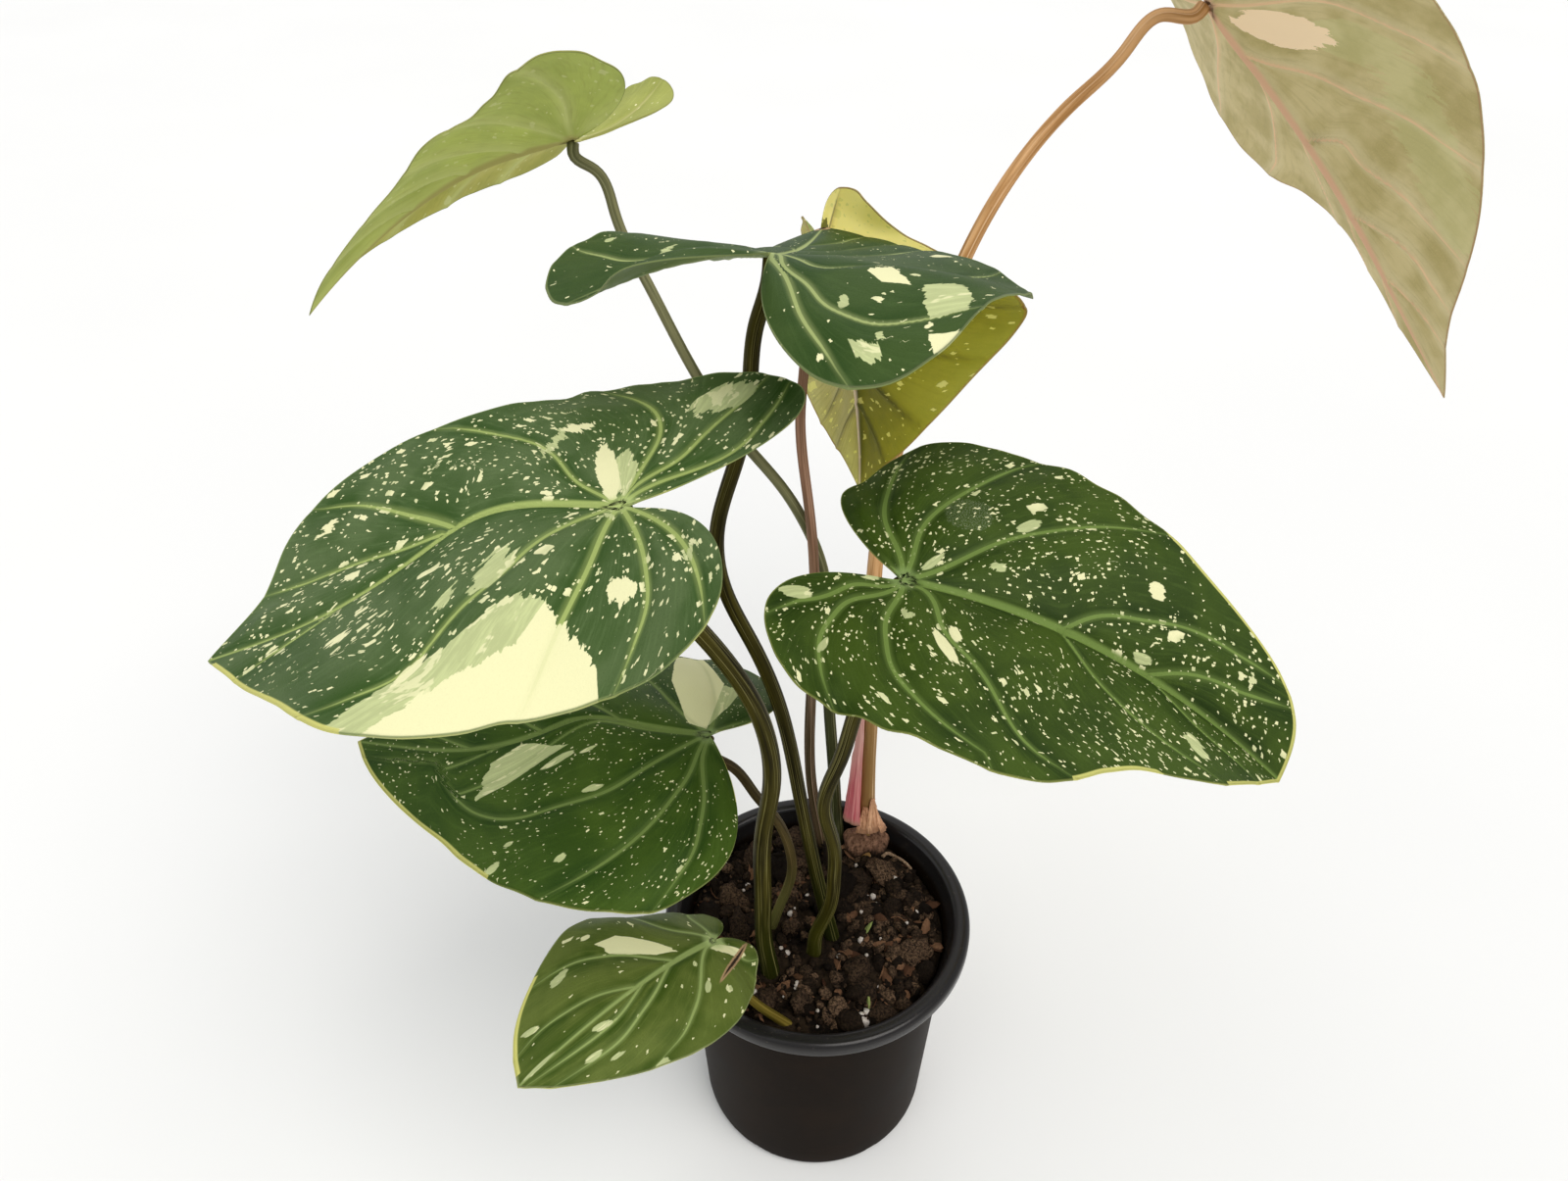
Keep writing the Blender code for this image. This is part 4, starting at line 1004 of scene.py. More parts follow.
def carry_rings(line, radii_at, step=1.4, sides=24, ridges=0.0, seed=0):
    """Rings of points round a smooth line, square to it, with the radius a function of the place along it."""
    lengths = lengths_along(line)
    stations = np.linspace(0, lengths[-1], int(lengths[-1] / step) + 2)
    middle = smooth_curve(lengths, line, stations)
    across, back = square_to(np.gradient(middle, stations, axis=0))
    angle = np.linspace(0, 2 * np.pi, sides, endpoint=False)
    radius = radii_at(stations, lengths[-1])[:, None] * np.ones(sides)
    radius = radius * (1 + ridges * lattice_noise(angle[None] * 2.1, stations[:, None] * 0.05, seed))
    points = middle[:, None] + radius[..., None] * (
        across[:, None] * np.cos(angle)[None, :, None] - back[:, None] * np.sin(angle)[None, :, None])
    numbers = np.stack(np.broadcast_arrays(np.cos(angle)[None], np.sin(angle)[None], stations[:, None]),
                       axis=-1)
    return points, numbers, middle


def tube_mesh(name, points, numbers, ends):
    """The rings joined into a closed tube, with a point in the middle of each end."""
    all_points = np.concatenate([points.reshape(-1, 3), ends]) * MM
    mesh = make_mesh(name, all_points, *closed_tube(*points.shape[:2]))
    last = [[0, 0, numbers[0, 0, 2]], [0, 0, numbers[-1, 0, 2]]]
    store(mesh, "stem", np.concatenate([numbers.reshape(-1, 3), last]))
    return mesh


# %% The stalks' skin
def stalk_finish(name, seed, dark, light, line_colour, low=None, low_to=40.0, mottle=0.3):
    """A skin of two tones with fine lines and spots along the stalk, and a third tone near the soil."""
    finish = Finish(name, Roughness=0.45, Specular_IOR_Level=0.04)
    c, s, along = finish.attribute("stem")
    lines = finish.noise(finish.point(c * 5.5, s * 5.5, along * 0.012 + seed), 1.0, 3.0, 0.7)
    broad = finish.noise(finish.point(c * 1.3, s * 1.3, along * 0.03 + seed), 1.0, 2.0, 0.5)
    spots = finish.noise(finish.point(c * 3.0, s * 3.0, along * 0.5 + seed), 1.0, 3.0, 0.7)
    colour = finish.mix(broad.step(0.36, 0.64), dark, light)
    if low:
        colour = finish.mix(along.step(low_to, low_to * 0.3) * 0.8, colour, low)
    colour = finish.mix(lines.step(0.56, 0.64) * 0.7, colour, line_colour)
    colour = finish.mix(spots.step(0.60, 0.78) * mottle, colour, [x * 0.45 for x in dark])
    height = lines * 0.7 + spots * 0.3
    return finish.feed(Base_Color=colour, Roughness=spots * 0.2 + 0.34,
                       Normal=finish.bump(height, 0.00025, 0.7))


OLIVE = dict(dark=(0.018, 0.014, 0.002), light=(0.056, 0.046, 0.006), line_colour=(0.26, 0.23, 0.08))
STALK_LOOKS = {
    "front_left": ("stalk_dark", dict(OLIVE, low=(0.018, 0.024, 0.003), low_to=75.0)),
    "front_right": ("stalk_dark", dict(OLIVE, low=(0.046, 0.048, 0.005), low_to=60.0)),
    "top_middle": ("stalk_dark", dict(OLIVE, low=(0.014, 0.020, 0.003), low_to=75.0)),
    "young_hanging": ("stalk_pink", dict(dark=(0.18, 0.095, 0.055), light=(0.36, 0.19, 0.12),
                                         line_colour=(0.48, 0.32, 0.22), low=(0.018, 0.022, 0.005),
                                         low_to=170.0)),
    "back_left": ("stalk_dark", dict(dark=(0.10, 0.10, 0.045), light=(0.20, 0.19, 0.09),
                                     line_colour=(0.34, 0.33, 0.18), low=(0.022, 0.028, 0.005),
                                     low_to=150.0)),
    "back_right": ("stalk_tan", dict(dark=(0.40, 0.20, 0.070), light=(0.68, 0.39, 0.18),
                                     line_colour=(0.76, 0.52, 0.32), low=(0.26, 0.15, 0.05), low_to=120.0)),
    "low_left": ("stalk_dark", dict(dark=(0.045, 0.030, 0.010), light=(0.09, 0.065, 0.022),
                                    line_colour=(0.24, 0.17, 0.07), low=(0.13, 0.13, 0.035), low_to=70.0)),
    "small_low": ("stalk_dark", dict(dark=(0.10, 0.075, 0.010), light=(0.24, 0.17, 0.03),
                                     line_colour=(0.30, 0.22, 0.06), mottle=0.5)),
}


def stalk_radius(leaf):
    """The radius falls evenly from the foot to the top, with a slight swelling at each."""
    foot, top = leaf["radii"]

    def at(station, whole):
        share = np.clip(station / whole - 0.06, 0, 1)
        plain = foot + (top - foot) * share
        return plain * (1 + 0.10 * bell(station - STALK_DEPTH_IN_SOIL, 9) + 0.16 * bell(whole - station, 7))

    return at


for number, (name, leaf) in enumerate(LEAVES.items()):
    slot, look = STALK_LOOKS[name]
    points, numbers, middle = carry_rings(line_of(leaf), stalk_radius(leaf), ridges=0.035, seed=number)
    mesh = tube_mesh("stalk_" + name, points, numbers, middle[[0, -1]])
    skin = stalk_finish("skin of stalk " + name, number * 7.0, **look)
    place_piece("stem_" + name, mesh, [skin], ["stalk_" + name])

# %% [markdown]
# The pot is a blow-moulded nursery pot: thin matt black plastic with a glossy lip that flares out and rolls
# over. Its wall is turned, so half of its section is carried round the axis. The drain notches of the foot
# and the holes of the floor are cut from that smooth shell, as the mould leaves them.

# %% The pot
POT_HEIGHT, LIP_RADIUS, FOOT_RADIUS, WALL_TOP_RADIUS, WALL_TOP = 96, 52.5, 41, 45.2, 86
WALL, FLOOR = 1.2, 1.6
LIP_ROLL, LIP_EDGE, FOOT_ROUND = 2.3, 0.9, 3.7
UNDER_LIP = ((50.4, 91.5), (48.4, 91.2), (46.9, 90.0), (45.9, 88.2), (45.35, 86.8))
INNER_CORNER, OUTER_CORNER = 3, 4.5
POT_SIDES = 288


def wall_radius(height):
    """The outer radius of the wall at a height, both in mm."""
    return FOOT_RADIUS + (WALL_TOP_RADIUS - FOOT_RADIUS) * height / WALL_TOP


def arc(centre, radius, start, stop, count):
    """Points of a round stretch of a section, from one angle to another in degrees."""
    turn = np.radians(np.linspace(start, stop, count))
    return np.stack([centre[0] + radius * np.cos(turn), centre[1] + radius * np.sin(turn)], axis=-1)


def pot_section():
    """Half of the section: out over the floor inside, up, over the rolled lip, down outside and back."""
    inner_foot, inner_top = wall_radius(INNER_CORNER) - WALL, WALL_TOP_RADIUS - WALL
    return np.concatenate([
        [(20, FLOOR), (inner_foot - FLOOR, FLOOR)],
        np.linspace((inner_foot, INNER_CORNER), (inner_top, WALL_TOP), 12),
        [(inner_top + 0.35, WALL_TOP + 2.0), (inner_top + 1.3, WALL_TOP + 4.6)],
        arc((48.9, POT_HEIGHT - LIP_ROLL), LIP_ROLL, 172, 95, 8),
        arc((LIP_RADIUS - LIP_ROLL, POT_HEIGHT - LIP_ROLL), LIP_ROLL, 85, 0, 9),
        arc((LIP_RADIUS - LIP_EDGE, POT_HEIGHT - 4.4), LIP_EDGE, 0, -100, 5),
        UNDER_LIP,
        np.linspace((WALL_TOP_RADIUS, WALL_TOP - 0.5), (wall_radius(OUTER_CORNER), OUTER_CORNER), 14),
        arc((FOOT_RADIUS - 3.6, FOOT_ROUND), FOOT_ROUND, 0, -90, 8),
        [(30, 0)],
    ])


section = pot_section()
ring = np.stack(circle(POT_SIDES), axis=-1)
heights = np.broadcast_to(section[:, None, 1:], (len(section), POT_SIDES, 1))
shell = np.concatenate([section[:, None, :1] * ring[None], heights], axis=-1)
points = np.concatenate([shell.reshape(-1, 3), [[0, 0, FLOOR], [0, 0, 0]]]) * MM
pot_mesh = make_mesh("pot", points, *closed_tube(len(section), POT_SIDES, flipped=True))
print("pot section:", len(section), "points")

# %% Notches and holes
NOTCH_WIDTH, NOTCH_HEIGHT, NOTCH_DEPTH = 14, 3.2, 9
DRAINS, DRAIN_RADIUS, DRAIN_RING, DRAIN_DEPTH = 6, 3.5, 26, 8


def cutter(name, radius, depth, sides, turn, place):
    """A round bar along its own Z axis, turned by a matrix and put in its place."""
    across, back = (radius * part for part in circle(sides))
    ends = [np.column_stack([across, back, np.full(sides, z)]) for z in (-depth / 2, depth / 2)]
    flat = np.concatenate([*ends, [[0, 0, -depth / 2], [0, 0, depth / 2]]])
    bar = bpy.data.objects.new(name, make_mesh(name, (flat @ turn.T + place) * MM, *closed_tube(2, sides)))
    bpy.context.scene.collection.objects.link(bar)
    return bar


notch_radius = (NOTCH_WIDTH**2 / 4 + NOTCH_HEIGHT**2) / (2 * NOTCH_HEIGHT)
cutters = []
for i in range(DRAINS):
    turn = turn_about("Z", 360 / DRAINS * i)
    lying = turn @ turn_about("Y", 90)
    place = turn @ np.array([FOOT_RADIUS, 0, NOTCH_HEIGHT - notch_radius])
    cutters.append(cutter(f"notch_cutter_{i}", notch_radius, NOTCH_DEPTH, 72, lying, place))
    turn = turn_about("Z", 360 / DRAINS * (i + 0.5))
    place = turn @ np.array([DRAIN_RING, 0, 0])
    cutters.append(cutter(f"drain_cutter_{i}", DRAIN_RADIUS, DRAIN_DEPTH, 32, turn, place))


def cut_away(mesh, cutters):
    """The mesh with every cutter taken out of it, as a plain mesh again."""
    holder = bpy.data.objects.new("shell", mesh)
    bpy.context.scene.collection.objects.link(holder)
    for tool in cutters:
        modifier = holder.modifiers.new(tool.name, "BOOLEAN")
        modifier.operation, modifier.solver, modifier.object = "DIFFERENCE", "EXACT", tool
    graph = bpy.context.evaluated_depsgraph_get()
    result = bpy.data.meshes.new_from_object(holder.evaluated_get(graph))
    for gone in [holder, *cutters]:
        bpy.data.objects.remove(gone)
    return result


pot_mesh = cut_away(pot_mesh, cutters)
print("pot after cutting:", len(pot_mesh.polygons), "faces")


# %% Black plastic
def plastic_finish():
    """Matt brown-black plastic with faint scuffs and dust, and a smoother, bluer lip."""
    # The warm specular tint is a painted reflection: it browns the plastic's sheen as a wooden table beside
    # it would.
    finish = Finish("black plastic", Specular_IOR_Level=0.03, Specular_Tint=(1.0, 0.62, 0.38, 1.0),
                    Coat_Roughness=0.22)
    spot = finish.spot()
    x, y, z = finish.parts(spot)
    lip = z.step(0.0888, 0.0915)
    cloud = finish.noise(spot, 45.0, 3.0, 0.6)
    pores = finish.noise(spot, 1500.0, 3.0, 0.6)
    scuff = finish.noise(finish.point(x * 160, y * 160, z * 900), 1.0, 3.0, 0.7)
    body = finish.mix(cloud.step(0.35, 0.7), (0.007, 0.0042, 0.0025), (0.011, 0.0065, 0.0038))
    body = finish.mix(scuff.step(0.62, 0.80) * 0.25, body, (0.04, 0.028, 0.018))
    colour = finish.mix(lip, body, (0.013, 0.012, 0.012))
    dust = finish.noise(spot, 900.0, 4.0, 0.75).step(0.62, 0.72) * z.step(0.070, 0.0955) * 0.35
    colour = finish.mix(dust, colour, (0.16, 0.12, 0.09))
    rough = cloud * 0.10 + (1 - lip) * 0.16 + 0.26 + dust * 0.4
    height = pores * 0.4 + scuff * 0.3
    return finish.feed(Base_Color=colour, Roughness=rough, Coat_Weight=lip * 0.5,
                       Normal=finish.bump(height, 0.00008, 0.6))


place_piece("nursery_pot", pot_mesh, [plastic_finish()], ["pot"])
pot_mesh.set_sharp_from_angle(angle=math.radians(38))

# %% [markdown]
# Potting mix is dark peat with lumps, bark and white perlite. A plain bumpy disc would look like felt, so the
# top is a fine grid with several sizes of noise on it, and more than a thousand small crumbs, grains and
# chips are set into that surface as part of the same mesh. Each has a few dozen faces or more, squashed and
# roughened by chance numbers with a fixed seed, so that the result is the same every time.

# %% The soil's surface
SOIL_LEVEL, SOIL_MOUND, SOIL_TILT = 88.8, 2.5, (-0.025, -0.012)
SOIL_RINGS, SOIL_SIDES = 84, 240
SOIL_GAP, SOIL_FOOT_GAP = 0.35, 1.7
SOIL_BOTTOM = FLOOR + GAP / MM
# The heights of the rings of the soil's side, from the top down, and their gaps from the pot.
SOIL_WALL = ((70, SOIL_GAP), (45, SOIL_GAP), (20, SOIL_GAP), (4.2, SOIL_GAP), (SOIL_BOTTOM, SOIL_FOOT_GAP))
INNER = WALL_TOP_RADIUS - WALL - SOIL_GAP
# The size, the height and the seed of the lumps.
LUMPS = ((9, 1.0, 3), (4.2, 0.9, 4), (2.0, 0.65, 5), (1.0, 0.35, 6))
# The kinds of thing in the mix. A dead root counts as bark.
PEAT, CRUMB, PERLITE, BARK, GREEN_BIT = 0, 1, 2, 3, 4

soil_parts = []


def add_to_soil(points, quads, fans, kinds):
    """Adds a closed shape to the soil. Its faces count from its own first point. Each point has a kind."""
    first = sum(len(part[0]) for part in soil_parts)
    soil_parts.append((points, quads + first, fans + first, kinds))


def soil_level(x, y):
    """The height of the soil in mm: a low mound, tilted a little, with lumps of several sizes."""
    level = SOIL_LEVEL + SOIL_MOUND * (1 - (x * x + y * y) / INNER**2) + SOIL_TILT[0] * x + SOIL_TILT[1] * y
    for size, height, seed in LUMPS:
        level = level + height * lattice_noise(x / size + 20, y / size + 20, seed)
    near_wall = np.clip((np.hypot(x, y) / INNER - 0.86) / 0.14, 0, 1)
    return level - 1.6 * near_wall**2


cosines, sines = circle(SOIL_SIDES)
radius = INNER * np.linspace(0, 1, SOIL_RINGS + 1)[1:, None]
x, y = radius * cosines, radius * sines
rows = [np.stack([x, y, soil_level(x, y)], axis=-1)]
for height, gap in SOIL_WALL:
    ring_radius = wall_radius(max(height, INNER_CORNER)) - WALL - gap
    wall = np.column_stack([ring_radius * cosines, ring_radius * sines, np.full(SOIL_SIDES, height)])
    rows.append(wall[None])
rows = np.concatenate(rows)
summit = soil_level(np.zeros(1), np.zeros(1))[0]
points = np.concatenate([rows.reshape(-1, 3), [[0, 0, summit], [0, 0, SOIL_BOTTOM]]])
add_to_soil(points, *closed_tube(len(rows), SOIL_SIDES, flipped=True), np.full(len(points), float(PEAT)))
print("soil surface:", len(points), "points")

# %% Crumbs, grains and chips
CROWN_SPOTS = [(17, 33), (23, 33)]
BIG_CRUMB_SPOTS = ((14.0, -28.0),)
PERLITE_SPOTS = ((13.5, -37.0), (15.5, -36.0), (14.0, -39.0))
GREEN_SPOTS = ((16.0, -33.5), (17.0, -5.0))


def clear_of_stalks(x, y, room):
    """Which places are at least that far from every stalk's foot and from the crown."""
    feet = np.array([leaf["foot"][:2] for leaf in LEAVES.values()] + CROWN_SPOTS, float)
    away = np.hypot(x[:, None] - feet[:, 0], y[:, None] - feet[:, 1])
    return (away > room).all(axis=1)


def scatter(seed, count, sizes, flatness, stretch, rough, kind, sunk=0.35, lat=6, lon=8, places=None):
    """Many small lumpy balls in one go. Each is a grid over a sphere, with its points pushed in or out.

    They land by chance, clear of the stalks, unless their places are given.
    """
    dice = np.random.default_rng(seed)
    if places is None:
        turn = dice.uniform(0, 2 * np.pi, count * 3)
        away = (INNER - 1.2) * np.sqrt(dice.uniform(0, 1, count * 3))
        cx, cy = away * np.cos(turn), away * np.sin(turn)
        keep = np.flatnonzero(clear_of_stalks(cx, cy, 3.6 + sizes[1]))[:count]
        cx, cy = cx[keep], cy[keep]
    else:
        cx, cy = np.array(places, float).T
    count = len(cx)
    size = dice.uniform(0, 1, count) ** 2 * (sizes[1] - sizes[0]) + sizes[0]
    polar = np.linspace(0, np.pi, lat + 1)[1:-1, None]
    cosines, sines = circle(lon)
    ball = np.stack(np.broadcast_arrays(np.sin(polar) * cosines, np.sin(polar) * sines, np.cos(polar)),
                    axis=-1)
    ball = np.concatenate([ball.reshape(-1, 3), [[0, 0, 1], [0, 0, -1]]])
    push = 1 + rough * dice.uniform(-1, 1, (count, len(ball)))
    shape = ball[None] * push[..., None] * np.array([stretch, 1, flatness])
    quaternions = dice.normal(0, 1, (count, 4)) * np.array([1, 0.35, 0.35, 1.2])
    a, b, c, d = (quaternions / np.linalg.norm(quaternions, axis=1, keepdims=True)).T
    spin = np.stack([
        np.stack([1 - 2 * (c * c + d * d), 2 * (b * c - a * d), 2 * (b * d + a * c)], axis=-1),
        np.stack([2 * (b * c + a * d), 1 - 2 * (b * b + d * d), 2 * (c * d - a * b)], axis=-1),
        np.stack([2 * (b * d - a * c), 2 * (c * d + a * b), 1 - 2 * (b * b + c * c)], axis=-1)], axis=1)
    turned = np.einsum("nij,npj->npi", spin, shape) * size[:, None, None]
    centre = np.stack([cx, cy, soil_level(cx, cy) + size * flatness * (1 - 2 * sunk) * 0.6], axis=-1)
    points = turned + centre[:, None]
    quads, fans = closed_tube(lat - 1, lon, flipped=True)
    firsts = np.arange(count)[:, None, None] * len(ball)
    kinds = np.repeat(kind + dice.uniform(0, 0.9, count), len(ball))
    add_to_soil(points.reshape(-1, 3), (quads + firsts).reshape(-1, 4), (fans + firsts).reshape(-1, 3), kinds)
    return count


made = [
    scatter(31, 900, (0.5, 1.7), 0.75, 1.2, 0.26, CRUMB, lat=5, lon=7),
    scatter(32, 260, (1.2, 2.9), 0.7, 1.25, 0.28, CRUMB),
    scatter(38, 46, (2.4, 4.6), 0.62, 1.3, 0.24, CRUMB, lat=8, lon=11),
    scatter(40, 12, (3.6, 6.0), 0.55, 1.3, 0.26, CRUMB, lat=10, lon=14),
    scatter(33, 90, (0.5, 1.3), 0.9, 1.1, 0.12, PERLITE, sunk=0.15),
    scatter(34, 120, (0.9, 2.2), 0.32, 2.3, 0.16, BARK, sunk=0.2),
    scatter(35, 1, (4.6, 4.7), 0.55, 1.15, 0.16, CRUMB, sunk=0.2, lat=10, lon=14, places=BIG_CRUMB_SPOTS),
    scatter(36, 3, (1.7, 2.2), 0.85, 1.1, 0.14, PERLITE, sunk=0.15, lat=8, lon=10, places=PERLITE_SPOTS),
    scatter(37, 2, (1.4, 1.5), 0.4, 2.6, 0.12, GREEN_BIT, sunk=0.2, places=GREEN_SPOTS),
]
print("set into the soil:", made)

# %% [markdown]
# Fine dead roots lie among the crumbs, some looped out near the wall. They are thin tubes on short lines.

# %% Loose roots
dice = np.random.default_rng(77)
root_total = 0
for _ in range(34):
    turn, away = dice.uniform(0, 2 * np.pi), (INNER - 9) * math.sqrt(dice.uniform(0, 1))
    heading, bend = dice.uniform(0, 2 * np.pi), dice.uniform(-0.25, 0.25)
    steps = np.arange(7)
    x = away * math.cos(turn) + np.cumsum(np.cos(heading + bend * steps)) * 1.3
    y = away * math.sin(turn) + np.cumsum(np.sin(heading + bend * steps)) * 1.3
    if np.hypot(x, y).max() > INNER - 1 or not clear_of_stalks(x, y, 3.4).all():
        continue
    arch = 0.9 * np.sin(np.pi * steps / 6) * dice.uniform(0.1, 1)
    line = np.stack([x, y, soil_level(x, y) + 0.15 + arch], axis=-1)
    thick = dice.uniform(0.16, 0.34)
    rings, _, middle = carry_rings(line, lambda at, whole: thick * (1 - 0.6 * (at / whole) ** 4), 0.9, 6)
    points = np.concatenate([rings.reshape(-1, 3), middle[[0, -1]]])
    add_to_soil(points, *closed_tube(*rings.shape[:2]), np.full(len(points), BARK + dice.uniform(0, 0.9)))
    root_total += 1
print("loose roots:", root_total)


# %% Peat, perlite and bark
def soil_finish():
    """One finish for all the kinds in the mix. What a kind has past its whole number sets its tone."""
    finish = Finish("potting mix", Specular_IOR_Level=0.08)
    kind = finish.attribute("soil")[0]
    own = kind - kind.floor()
    spot = finish.spot()
    fine = finish.noise(spot, 1300.0, 4.0, 0.75)
    broad = finish.noise(spot, 160.0, 3.0, 0.6)
    peat = finish.mix(broad.step(0.35, 0.65), (0.004, 0.0025, 0.0015), (0.026, 0.016, 0.009))
    peat = finish.mix(fine.step(0.56, 0.76) * 0.6, peat, (0.11, 0.066, 0.038))
    crumb = finish.mix(own * own, (0.008, 0.005, 0.003), (0.25, 0.150, 0.088))
    crumb = finish.mix(fine.step(0.35, 0.7), (0.006, 0.0035, 0.002), crumb)
    perlite = finish.mix(fine.step(0.3, 0.75), (0.42, 0.34, 0.29), (0.82, 0.76, 0.70))
    bark = finish.mix(own, (0.050, 0.020, 0.010), (0.26, 0.135, 0.072))
    bark = finish.mix(fine.step(0.4, 0.75) * 0.7, bark, (0.05, 0.025, 0.014))
    colour = finish.mix(kind.step(0.4, 0.6), peat, crumb)
    for number, tone in ((PERLITE, perlite), (BARK, bark), (GREEN_BIT, (0.28, 0.33, 0.10))):
        colour = finish.mix(kind.step(number - 0.06, number - 0.02), colour, tone)
    height = fine * 0.7 + broad * 0.3
    return finish.feed(Base_Color=colour, Roughness=fine * 0.2 + 0.72,
                       Normal=finish.bump(height, 0.0006, 0.9))


points, quads, fans, kinds = (np.concatenate(arrays) for arrays in zip(*soil_parts))
soil_mesh = make_mesh("soil", points * MM, quads, fans)
store(soil_mesh, "soil", np.stack([kinds, kinds, kinds], axis=-1))
place_piece("potting_mix", soil_mesh, [soil_finish()], ["soil"])

# %% [markdown]
# The newest stalk comes out of a short knobbly crown at the back of the pot, and beside it stands the pink
# papery sheath that once wrapped the leaf. Three short dry scales hold the stalk's foot. They are strips like
# the sheath, bent round the same stalk. A dry root lies from the crown to the wall.

# %% Crown, sheath and root
CROWN_CENTRE, CROWN_RADII = np.array([18.3, 33.3, 92.4]), np.array([7.6, 6.4, 7.2])
CROWN_ROWS, CROWN_SIDES = 50, 72
SHEATH_RADIUS, SHEATH_GAP, SHEATH_THICKNESS = 3.42, 0.15, 0.42
SHEATH_ROWS, SHEATH_COLUMNS = 70, 26
# Each sheet's start above the soil, length, flare, widths at foot and tip, the way it faces and its dryness.
SHEETS = ((3.6, 47, 4.4, (11.5, 2.0), 332, 0.0), (0.5, 12, 2.6, (8.5, 1.5), 238, 1.0),
          (0.2, 7, 3.6, (7.0, 2.5), 200, 1.0), (0.4, 9, 3.0, (6.5, 1.5), 280, 1.0))
DRY_ROOT = ((24.6, 28.2), (26.6, 30.2), (29.0, 29.8), (31.2, 27.6), (33.0, 25.6), (35.0, 24.0))


def crown_mesh():
    """An egg whose surface is raised in rings and knobs by waves, rough all over."""
    turns = np.linspace(0, 2 * np.pi, CROWN_SIDES, endpoint=False)
    polar, turn = np.meshgrid(np.linspace(0, np.pi, CROWN_ROWS), turns, indexing="ij")
    ball = np.stack([np.sin(polar) * np.cos(turn), np.sin(polar) * np.sin(turn), np.cos(polar)], axis=-1)
    scales = 0.34 * np.sin(5 * turn + 4 * np.cos(polar)) + 0.30 * np.sin(3 * turn - 7 * np.cos(polar))
    rough = 0.35 * lattice_noise(turn * 64 / (2 * np.pi) / 4, polar * 6, 12) * np.sin(polar)
    rough += (0.8 * np.sin(2 * turn + 1.3) + 0.6 * np.sin(3 * turn + 5 * polar)) * np.sin(polar)
    hugged = np.maximum(0, np.cos(polar)) * 0.9
    shape = ball * (CROWN_RADII + (scales * np.sin(polar) + rough - hugged)[..., None])
    points = shape + CROWN_CENTRE
    points = np.concatenate([points[1:-1].reshape(-1, 3), points[[0, -1], 0]])
    return make_mesh("crown", points * MM, *closed_tube(CROWN_ROWS - 2, CROWN_SIDES, flipped=True))


def bark_finish(name, dark, light, scale, soiled_to=0):
    """Dry fibres in two browns, soiled up to a height in mm."""
    finish = Finish(name, Specular_IOR_Level=0.1)
    spot = finish.spot()
    x, y, z = finish.parts(spot)
    fibres = finish.noise(finish.point(x * scale * 2, y * scale * 2, z * scale * 0.5), 1.0, 4.0, 0.7)
    fine = finish.noise(spot, scale * 4, 4.0, 0.7)
    colour = finish.mix(fibres.step(0.3, 0.7), dark, light)
    colour = finish.mix(fine.step(0.55, 0.75) * 0.5, colour, [c * 0.35 for c in dark])
    if soiled_to:
        soiled = (z * 1000 + fibres * 6).step(soiled_to + 5, soiled_to)
        colour = finish.mix(soiled, colour, (0.020, 0.012, 0.007))
    height = fibres * 0.6 + fine * 0.4
    return finish.feed(Base_Color=colour, Roughness=fine * 0.2 + 0.7, Normal=finish.bump(height, 0.0008, 0.9))


crown_finish = bark_finish("dry scales", (0.075, 0.034, 0.018), (0.34, 0.18, 0.11), 420.0, soiled_to=93)
place_piece("stem_crown", crown_mesh(), [crown_finish], ["crown"])


def wrap_sheet(start, length, flare, widths, facing, dry):
    """A strip bent part way round the newest stalk, flaring at its foot, and what its finish reads."""
    line = line_of(LEAVES["back_right"])
    lengths = lengths_along(line)
    share = np.linspace(0, 1, SHEATH_ROWS)
    at = STALK_DEPTH_IN_SOIL + start + length * share
    middle = smooth_curve(lengths, line, at)
    side, back = square_to(smooth_curve(lengths, line, at + 1) - smooth_curve(lengths, line, at - 1))
    radius = SHEATH_RADIUS + flare * (1 - share) ** 1.4
    width = widths[0] + (widths[1] - widths[0]) * share**0.8
    across = np.linspace(-1, 1, SHEATH_COLUMNS)
    angle = np.radians(facing) + (width / 2 / radius)[:, None] * across
    crease = 0.16 * np.sin(across * 9)[None] * (1 - share[:, None])
    crease = crease + 0.22 * lattice_noise(across[None] * 3 + 9, share[:, None] * 12, 41)
    outward = side[:, None] * np.cos(angle)[..., None] + back[:, None] * np.sin(angle)[..., None]
    sheets = []
    for depth in (0.0, SHEATH_THICKNESS):
        reach = radius[:, None] + SHEATH_GAP + crease + depth
        sheets.append(middle[:, None] + reach[..., None] * outward)
    rows, columns = SHEATH_ROWS, SHEATH_COLUMNS
    count = rows * columns
    face = grid_quads(rows, columns)
    loop = np.concatenate([np.arange(columns), np.arange(1, rows) * columns + columns - 1,
                           (rows - 1) * columns + np.arange(columns - 2, -1, -1),
                           np.arange(rows - 2, 0, -1) * columns])
    after = np.roll(loop, -1)
    rim = np.stack([loop, after, after + count, loop + count], axis=-1)
    points = np.concatenate([sheet.reshape(-1, 3) for sheet in sheets])
    strip = np.stack(np.broadcast_arrays(across[None], share[:, None], dry), axis=-1).reshape(-1, 3)
    return points, np.concatenate([face[:, ::-1], face + count, rim]), np.concatenate([strip, strip])


def sheath_mesh():
    """The long pink sheath, and the short dry scales that the crown still holds round the stalk's foot."""
    points, faces, strips = zip(*[wrap_sheet(*sheet) for sheet in SHEETS])
    quads = np.concatenate([sheet_faces + i * len(points[0]) for i, sheet_faces in enumerate(faces)])
    mesh = make_mesh("sheath", np.concatenate(points) * MM, quads)
    store(mesh, "strip", np.concatenate(strips))
    return mesh


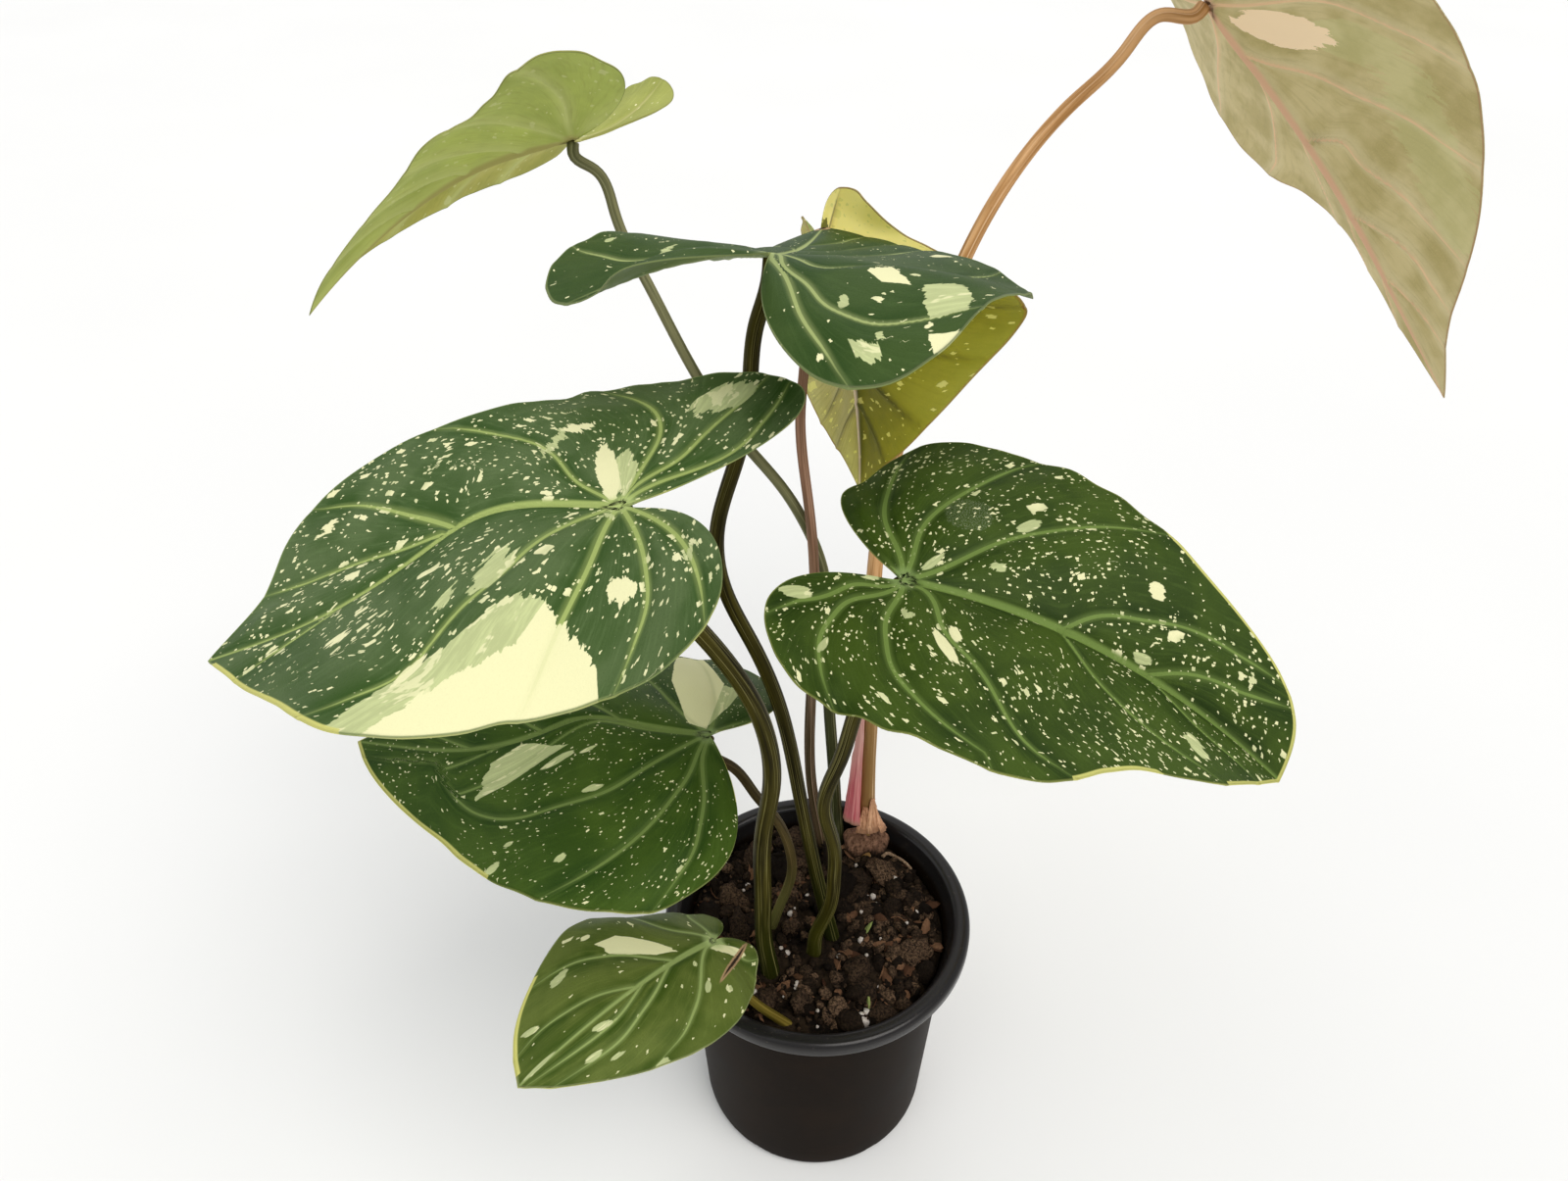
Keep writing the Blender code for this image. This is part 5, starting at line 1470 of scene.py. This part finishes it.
def sheath_finish():
    """Papery pink with darker lines along it, paler and brown at its foot and dry at its tip."""
    finish = Finish("pink sheath", Specular_IOR_Level=0.12)
    across, share, dry = finish.attribute("strip")
    lines = finish.noise(finish.point(across * 7, share * 1.2, 3.0), 1.0, 3.0, 0.7)
    cloud = finish.noise(finish.point(across * 1.4, share * 5, 8.0), 1.0, 3.0, 0.6)
    colour = finish.mix(lines.step(0.35, 0.65), (0.52, 0.060, 0.085), (0.82, 0.31, 0.30))
    colour = finish.mix(cloud.step(0.55, 0.8) * 0.6, colour, (0.78, 0.48, 0.42))
    colour = finish.mix(share.step(0.25, 0.7) * 0.6, colour, (0.86, 0.55, 0.46))
    colour = finish.mix(share.step(0.06, 0.0) * 0.8, colour, (0.42, 0.25, 0.16))
    colour = finish.mix(share.step(0.9, 1.0) * 0.7, colour, (0.40, 0.24, 0.12))
    papery = finish.mix(lines.step(0.35, 0.65), (0.40, 0.17, 0.075), (0.80, 0.46, 0.27))
    colour = finish.mix(dry, colour, finish.mix(share.step(0.35, 0.0) * 0.7, papery, (0.16, 0.075, 0.038)))
    return finish.feed(Base_Color=colour, Roughness=lines * 0.2 + 0.42,
                       Normal=finish.bump(lines, 0.0003, 0.8))


place_piece("leaf_sheath", sheath_mesh(), [sheath_finish()], ["sheath"])


def root_radius(at, whole):
    """The radius of the dry root, which thins evenly along it, in mm."""
    return 0.72 - 0.2 * (at / whole)


x, y = np.array(DRY_ROOT).T
line = np.column_stack([x, y, soil_level(x, y) + 1.3])
points, numbers, middle = carry_rings(line, root_radius, 0.5, 14, ridges=0.25, seed=9)
root_mesh = tube_mesh("dry_root", points, numbers, middle[[0, -1]])
root_finish = bark_finish("dry root", (0.20, 0.12, 0.07), (0.42, 0.29, 0.19), 700.0)
place_piece("dry_root", root_mesh, [root_finish], ["dried_root"])

# %% [markdown]
# The plant stands on a plain pale floor under soft studio light. The floor is one large sheet, so that it
# fills the picture up to the top, as the pale wall and the table do behind the real plant.

# %% Floor and light
FLOOR_CORNERS = np.array([(-4, -3, 0), (4, -3, 0), (4, 6, 0), (-4, 6, 0)], float)
SKY_COLOUR, SKY_STRENGTH = (0.93, 0.96, 1.0, 1), 0.58

floor_mesh = make_mesh("floor", FLOOR_CORNERS, np.array([[0, 1, 2, 3]]))
floor = bpy.data.objects.new("floor", floor_mesh)
bpy.context.scene.collection.objects.link(floor)
paper = Finish("pale floor", Roughness=0.8)
paper_colour = paper.mix(paper.noise(paper.spot(), 3.0, 2.0), (0.80, 0.79, 0.77), (0.84, 0.83, 0.81))
floor_mesh.materials.append(paper.feed(Base_Color=paper_colour))

world = bpy.data.worlds.new("studio")
bpy.context.scene.world = world
world.use_nodes = True
world.node_tree.nodes["Background"].inputs["Color"].default_value = SKY_COLOUR
world.node_tree.nodes["Background"].inputs["Strength"].default_value = SKY_STRENGTH
bpy.context.scene.view_settings.view_transform = "Standard"


def far_light(name, heading, height, spread, strength, colour):
    """A sun that shines from a heading and a height in degrees. A wide spread makes its shadows soft."""
    data = bpy.data.lights.new(name, "SUN")
    data.angle, data.energy, data.color = math.radians(spread), strength, colour
    lamp = bpy.data.objects.new(name, data)
    lamp.rotation_euler = (math.radians(90 - height), 0, math.radians(heading + 90))
    bpy.context.scene.collection.objects.link(lamp)


far_light("key", -50, 55, 40, 1.85, (1.0, 0.985, 0.96))
far_light("fill", 200, 40, 70, 0.55, (0.96, 0.98, 1.0))
far_light("back", 80, 45, 60, 0.45, (1.0, 1.0, 1.0))
print("lights placed")
